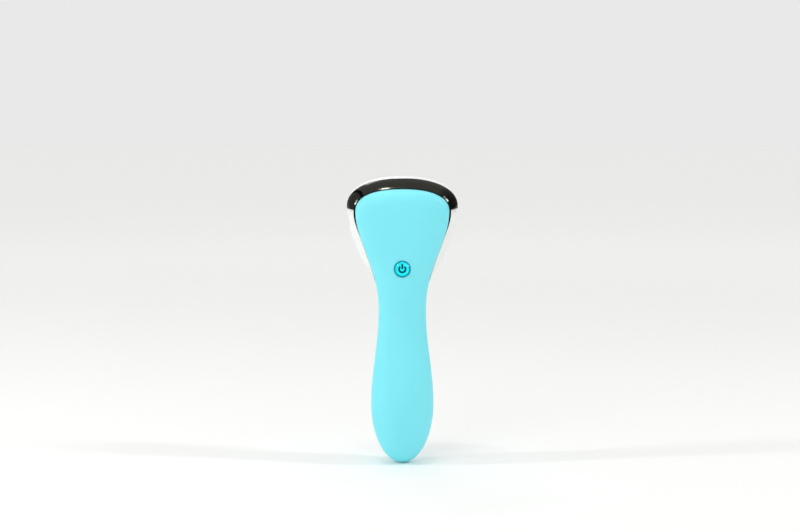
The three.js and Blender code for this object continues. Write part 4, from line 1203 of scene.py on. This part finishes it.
class PADDLE_OT_power_button(bpy.types.Operator):
    """Builds the button's ring, its dished cap and the power sign printed on it"""

    bl_idname = "paddle.power_button"
    bl_label = "Power Button"

    # The printed line's section, as shares of its half-width across and of its height
    LINE_SECTION = [(-1, 0.5), (-0.92, -0.7), (-0.7, -1), (0.7, -1), (0.92, -0.7), (1, 0.5)]
    # Steps round the ring and the cap, over the ring's nose, over the dish, and along the sign
    AROUND, NOSE_STEPS, DISH_STEPS, ARC_STEPS, BAR_STEPS = 96, 12, 16, 60, 12
    # Lines close to the chamfer's two edges keep it flat to the light
    CHAMFER_LINES = (0.0, 0.2, 0.8, 1.0)

    def execute(self, context):
        body, s = Body(), settings("paddle_button")
        self.s = s
        self.face = body.front(0.0, s.height)
        self.seat = self.face + body.s.wall
        self.centre = Vector((0.0, 0.0, s.height + TIP))
        self.inner = s.ring_radius - s.ring_width
        self.cap_radius = self.inner - s.fit
        self.rim = self.cap_radius - s.chamfer * math.cos(math.radians(s.chamfer_slope))
        self.build_ring()
        self.build_cap()
        self.build_sign()
        return {"FINISHED"}

    def build_ring(self):
        s = self.s
        back = self.seat + s.ring_flange_thickness
        round_off = s.ring_width / 2
        nose_centre = (self.inner + round_off, self.face - s.ring_proud + round_off)
        flange = s.ring_radius + s.ring_flange
        profile = [
            (self.inner, back),
            *arc(nose_centre, round_off, 180, 360, self.NOSE_STEPS),
            (s.ring_radius, self.seat),
            (flange, self.seat),
            (flange, back),
            (self.inner, back),
        ]
        bm = turned(profile, self.centre, self.AROUND)
        piece(bm, "button_bezel", "tinted_gloss_ring", "button_ring")

    def cap_depth(self, radius):
        """Depth of the cap's dished face at a distance from its centre."""
        s = self.s
        return self.face - s.proud + s.dish * max(0.0, 1 - (radius / self.rim) ** 2)

    def build_cap(self):
        s, rim = self.s, self.rim
        slope = math.radians(s.chamfer_slope)
        flange_front = self.seat + s.ring_flange_thickness + s.lift
        flange_back = flange_front + s.flange_thickness
        stem_back = flange_back + s.stem_length
        radii = [rim * i / self.DISH_STEPS for i in range(self.DISH_STEPS)]
        ways = [s.chamfer * share for share in self.CHAMFER_LINES]
        edge = self.cap_depth(rim)
        profile = [
            *[(radius, self.cap_depth(radius)) for radius in radii],
            *[(rim + way * math.cos(slope), edge + way * math.sin(slope)) for way in ways],
            (self.cap_radius, flange_front),
            (self.cap_radius + s.flange, flange_front),
            (self.cap_radius + s.flange, flange_back),
            (s.stem_radius, flange_back),
            (s.stem_radius, stem_back),
            (0, stem_back),
        ]
        bm = turned(profile, self.centre, self.AROUND)
        soften(bm, s.edge_round, angle=38, segments=2)
        piece(bm, "button_cap", "tinted_gloss_cap", "power_button", body="button")

    def printed_line(self, path):
        """A raised line on the cap's face, along a path of (x, z, direction across)."""
        half = self.s.sign_stroke / 2
        rows = []
        for side, lift in self.LINE_SECTION + self.LINE_SECTION[:1]:
            row = []
            for across, up, dx, dz in path:
                x, z = across + dx * side * half, up + dz * side * half
                depth = self.cap_depth(math.hypot(x, z)) + lift * self.s.sign_raise
                row.append(Vector((x, depth, z)) + self.centre)
            rows.append(row)
        return lofted(rows)

    def build_sign(self):
        s = self.s
        # The arc goes round from one side of its opening, which is at the top, to the other
        start, end = 90 + s.sign_opening, 450 - s.sign_opening
        ways = arc((0, 0), 1, start, end, self.ARC_STEPS)
        bm = self.printed_line([(s.sign_radius * x, s.sign_radius * z, x, z) for x, z in ways])
        shares = [i / self.BAR_STEPS for i in range(self.BAR_STEPS + 1)]
        heights = [lerp(s.sign_bar_low, s.sign_bar_high, share) for share in shares]
        join(bm, self.printed_line([(0.0, height, 1.0, 0.0) for height in heights]))
        piece(bm, "power_sign", "pad_printed_ink", body="button")


# Charging socket


class PADDLE_OT_charge_socket(bpy.types.Operator):
    """Builds the charging socket: its folded steel shell, its tongue and the contacts on it"""

    bl_idname = "paddle.charge_socket"
    bl_label = "Charging Socket"

    AROUND = 48
    LIP_CHAMFER, TONGUE_ROUND = 0.08 * MM, 0.15 * MM
    # Contacts on each side: how many, how long and where their middle is as shares of the tongue's
    # length, and how thick
    CONTACTS, CONTACT_LENGTH, CONTACT_MIDDLE, CONTACT_THICKNESS = 12, 0.8, 0.52, 0.06 * MM

    def execute(self, context):
        s = settings("paddle_socket")
        low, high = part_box("charge_socket")
        mouth, end = high.y, low.y
        middle = Vector((0.0, 0.0, s.height + TIP))

        def slot_ring(inset, depth):
            radius = s.thickness / 2 - inset
            straight = (s.width - s.thickness) / 2
            ring = []
            for i in range(self.AROUND + 1):
                turn = 2 * math.pi * (i + 0.5) / self.AROUND
                x = radius * math.cos(turn)
                spot = Vector((x + math.copysign(straight, x), depth, radius * math.sin(turn)))
                ring.append(spot + middle)
            return ring

        lip = self.LIP_CHAMFER
        rows = [
            slot_ring(0.0, end),
            slot_ring(0.0, mouth - lip),
            slot_ring(lip, mouth),
            slot_ring(s.sheet - lip, mouth),
            slot_ring(s.sheet, mouth - lip),
            slot_ring(s.sheet, end + s.back),
        ]
        shell = lofted(rows)
        piece(shell, "charge_socket_shell", "tin_plated_steel", "charge_socket")

        tip, root = mouth - s.tongue_short, end + s.back
        tongue = (s.tongue_width, tip - root, s.tongue_thickness)
        bm = bmesh.new()
        block(bm, middle + Vector((0, (tip + root) / 2, 0)), tongue)
        soften(bm, self.TONGUE_ROUND)
        piece(bm, "charge_socket_tongue", "moulded_black_nylon")

        contact = (s.contact_width, (tip - root) * self.CONTACT_LENGTH, self.CONTACT_THICKNESS)
        bm = bmesh.new()
        for side in (-1, 1):
            for i in range(self.CONTACTS):
                x = (i - (self.CONTACTS - 1) / 2) * s.contact_pitch
                y = lerp(root, tip, self.CONTACT_MIDDLE)
                block(bm, middle + Vector((x, y, side * s.tongue_thickness / 2)), contact)
        piece(bm, "charge_socket_contacts", "gold_plated_contacts")
        return {"FINISHED"}


# Inner pieces


class PADDLE_OT_inner_pieces(bpy.types.Operator):
    """Gives the pieces inside the shells their finishes"""

    bl_idname = "paddle.inner_pieces"
    bl_label = "Inner Pieces"

    # The finish of each node whose name holds these words. The first that fits counts, and a node
    # that none fits keeps its own.
    WORDS = {
        "connector": "moulded_cream_nylon",
        "screw": "zinc_plated_steel",
        "led_board": "white_solder_mask",
        "control_board": "green_solder_mask",
        "charge_board": "green_solder_mask",
        "chip": "moulded_black_epoxy",
        "inductor": "moulded_black_epoxy",
        "switch": "moulded_black_epoxy",
        "battery_cell": "shrunk_pvc_sleeve",
        "battery_pad": "cut_grey_foam",
        "positive": "red_pvc_lead",
        "negative": "black_pvc_lead",
        "led_lead_red": "red_pvc_lead",
        "led_lead_blue": "blue_pvc_lead",
    }

    def execute(self, context):
        for name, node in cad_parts.items():
            word = next((word for word in self.WORDS if word in name), None)
            if word:
                for slot in node.material_slots:
                    slot.link = "OBJECT"
                    slot.material = finish(self.WORDS[word])
        return {"FINISHED"}


# Stage


class PADDLE_OT_stage(bpy.types.Operator):
    """Sets the floor and backdrop, the studio lights and the camera"""

    bl_idname = "paddle.stage"
    bl_label = "Stage"

    # How bright the air is in a mirror, by the share of the way across it: darker towards the
    # sides, as a studio's walls are
    WALLS = (
        (0.0, 0.6), (0.17, 0.75), (0.185, 0.1), (0.22, 0.1), (0.235, 1.0), (0.72, 1.0),
        (0.78, 0.5), (0.9, 0.25), (1.0, 0.15),
    )
    # The soft box, and small lamps that glint in the trim: place, size, and share of the key or glint
    BOXES = {
        "key_box": ((-0.6, -1.25, 0.85), (0.8, 0.8), "key", 1.0),
        "top_glint": ((-0.15, -0.3, 1.4), (0.4, 0.05), "glint", 1.0),
        "left_glint": ((-1.15, -0.21, 0.72), (0.06, 0.42), "glint", 1.4),
        "right_glint": ((1.0, -0.215, 0.95), (0.06, 0.42), "glint", 1.3),
        "back_glint": ((-0.25, 0.8, 1.15), (0.5, 0.2), "glint", 0.5),
    }
    BOXES_AIM = Vector((0, 0, 0.06))
    # In metres: half the floor's width, and how near and how far the camera sees
    FLOOR_REACH, CLIP = 30, (0.01, 20)
    FLOOR_STEPS = 24

    def execute(self, context):
        bpy.context.scene.view_settings.view_transform = "Standard"
        s = settings("paddle_stage")
        self.floor(s)
        self.air(s)
        self.boxes(s)
        self.camera(s)
        return {"FINISHED"}

    def seen(self, tree):
        """1 for the rays that show a surface to the camera, directly, in a mirror or through glass."""
        paths = add(tree, "ShaderNodeLightPath").outputs
        # The inputs of a math node share one name, so they go by number
        links = {0: paths["Is Camera Ray"], 1: paths["Is Glossy Ray"]}
        mirrored = add(tree, "ShaderNodeMath", links=links, operation="MAXIMUM")
        links = {0: mirrored.outputs[0], 1: paths["Is Transmission Ray"]}
        return add(tree, "ShaderNodeMath", links=links, operation="MAXIMUM").outputs[0]

    def floor(self, s):
        """A wide plain floor that shines a little to the camera, so it meets the air without a line."""
        bm = bmesh.new()
        steps = {"x_segments": self.FLOOR_STEPS, "y_segments": self.FLOOR_STEPS}
        at_tip = Matrix.Translation((0, 0, TIP))
        bmesh.ops.create_grid(bm, **steps, size=self.FLOOR_REACH, matrix=at_tip)
        floor = mesh_object(bm, "studio_floor", "matt_painted_floor")
        tree = floor.active_material.node_tree
        place = add(tree, "ShaderNodeTexCoord").outputs["Object"]
        away = add(tree, "ShaderNodeVectorMath", links={0: place}, operation="LENGTH").outputs["Value"]
        reach = {"From Min": s.lift_start, "From Max": s.lift_end}
        lift = {"To Min": s.near_lift, "To Max": s.far_lift}
        smooth = {"interpolation_type": "SMOOTHERSTEP"}
        far = add(tree, "ShaderNodeMapRange", {**reach, **lift}, {"Value": away}, **smooth)
        links = {0: self.seen(tree), 1: far.outputs["Result"]}
        shine = add(tree, "ShaderNodeMath", links=links, operation="MULTIPLY")
        surface = next(n for n in tree.nodes if n.type == "BSDF_PRINCIPLED")
        surface.inputs["Emission Color"].default_value = (1, 1, 1, 1)
        tree.links.new(shine.outputs[0], surface.inputs["Emission Strength"])

    def air(self, s):
        """Even light all round, seen as the pale backdrop, and in a mirror as a studio's walls."""
        world = bpy.data.worlds.new("studio_air")
        bpy.context.scene.world = world
        world.use_nodes = True
        tree = world.node_tree
        tree.nodes.clear()
        direction = add(tree, "ShaderNodeTexCoord").outputs["Generated"]
        x = add(tree, "ShaderNodeSeparateXYZ", links={"Vector": direction}).outputs["X"]
        across = add(tree, "ShaderNodeMapRange", {"From Min": -1.0, "From Max": 1.0}, {"Value": x})
        walls = add(tree, "ShaderNodeValToRGB", links={"Fac": across.outputs["Result"]})
        stops = walls.color_ramp.elements
        for i, (share, tone) in enumerate(self.WALLS):
            # A new ramp already has its first two stops
            stop = stops[i] if i < 2 else stops.new(share)
            stop.position = share
            stop.color = (tone, tone, tone, 1)
        glossy = add(tree, "ShaderNodeLightPath").outputs["Is Glossy Ray"]
        links = {"Value": glossy, "To Max": walls.outputs["Color"]}
        mirrored = add(tree, "ShaderNodeMapRange", {"To Min": 1.0}, links)
        levels = {"To Min": s.air, "To Max": s.backdrop}
        plain = add(tree, "ShaderNodeMapRange", levels, {"Value": self.seen(tree)})
        links = {0: plain.outputs["Result"], 1: mirrored.outputs["Result"]}
        strength = add(tree, "ShaderNodeMath", links=links, operation="MULTIPLY").outputs["Value"]
        white = {"Color": (1, 1, 1, 1)}
        air = add(tree, "ShaderNodeBackground", white, {"Strength": strength}).outputs["Background"]
        add(tree, "ShaderNodeOutputWorld", links={"Surface": air})

    def aimed(self, name, data, spot, towards):
        """A lamp or a camera at a spot, looking the given way."""
        made = in_scene(name, data)
        made.location = spot
        made.rotation_mode = "QUATERNION"
        made.rotation_quaternion = towards.to_track_quat("-Z", "Y")
        return made

    def boxes(self, s):
        for name, (spot, (across, down), power, share) in self.BOXES.items():
            light = bpy.data.lights.new(name, "AREA")
            light.shape = "RECTANGLE"
            light.size, light.size_y, light.energy = across, down, getattr(s, power) * share
            self.aimed(name, light, spot, self.BOXES_AIM - Vector(spot))

    def camera(self, s):
        low, high = (Vector(corner) for corner in CAD_BOX)
        rise = math.radians(s.elevation)
        back = Vector((0, -math.cos(rise), math.sin(rise)))
        up = Vector((0, math.sin(rise), math.cos(rise)))
        target = (low + high) / 2 + Vector((s.aim_across, 0, 0)) + up * s.aim_up
        lens = bpy.data.cameras.new("product_camera")
        lens.lens = s.lens
        lens.clip_start, lens.clip_end = self.CLIP
        camera = self.aimed("product_camera", lens, target + back * s.distance, -back)
        bpy.context.scene.camera = camera


OPERATORS = (
    PADDLE_OT_front_cover,
    PADDLE_OT_rear_grip,
    PADDLE_OT_light_head,
    PADDLE_OT_chrome_trim,
    PADDLE_OT_lamps,
    PADDLE_OT_power_button,
    PADDLE_OT_charge_socket,
    PADDLE_OT_inner_pieces,
    PADDLE_OT_stage,
)


class PADDLE_PT_pieces(bpy.types.Panel):
    bl_label = "Light Paddle"
    bl_idname = "PADDLE_PT_pieces"
    bl_space_type = "VIEW_3D"
    bl_region_type = "UI"
    bl_category = "Light Paddle"

    def draw(self, context):
        for operator in OPERATORS:
            self.layout.operator(operator.bl_idname)
        for group, kind in GROUPS.items():
            box = self.layout.box()
            box.label(text=kind.__name__)
            for name in kind.__annotations__:
                box.prop(getattr(context.scene, group), name)


def register():
    for kind in (*GROUPS.values(), *OPERATORS, PADDLE_PT_pieces):
        bpy.utils.register_class(kind)
    for group, kind in GROUPS.items():
        setattr(bpy.types.Scene, group, bpy.props.PointerProperty(type=kind))


def unregister():
    for group in GROUPS:
        delattr(bpy.types.Scene, group)
    for kind in reversed((*GROUPS.values(), *OPERATORS, PADDLE_PT_pieces)):
        bpy.utils.unregister_class(kind)


def main():
    register()
    for operator in OPERATORS:
        area, name = operator.bl_idname.split(".")
        getattr(getattr(bpy.ops, area), name)()


if __name__ == "__main__":
    main()
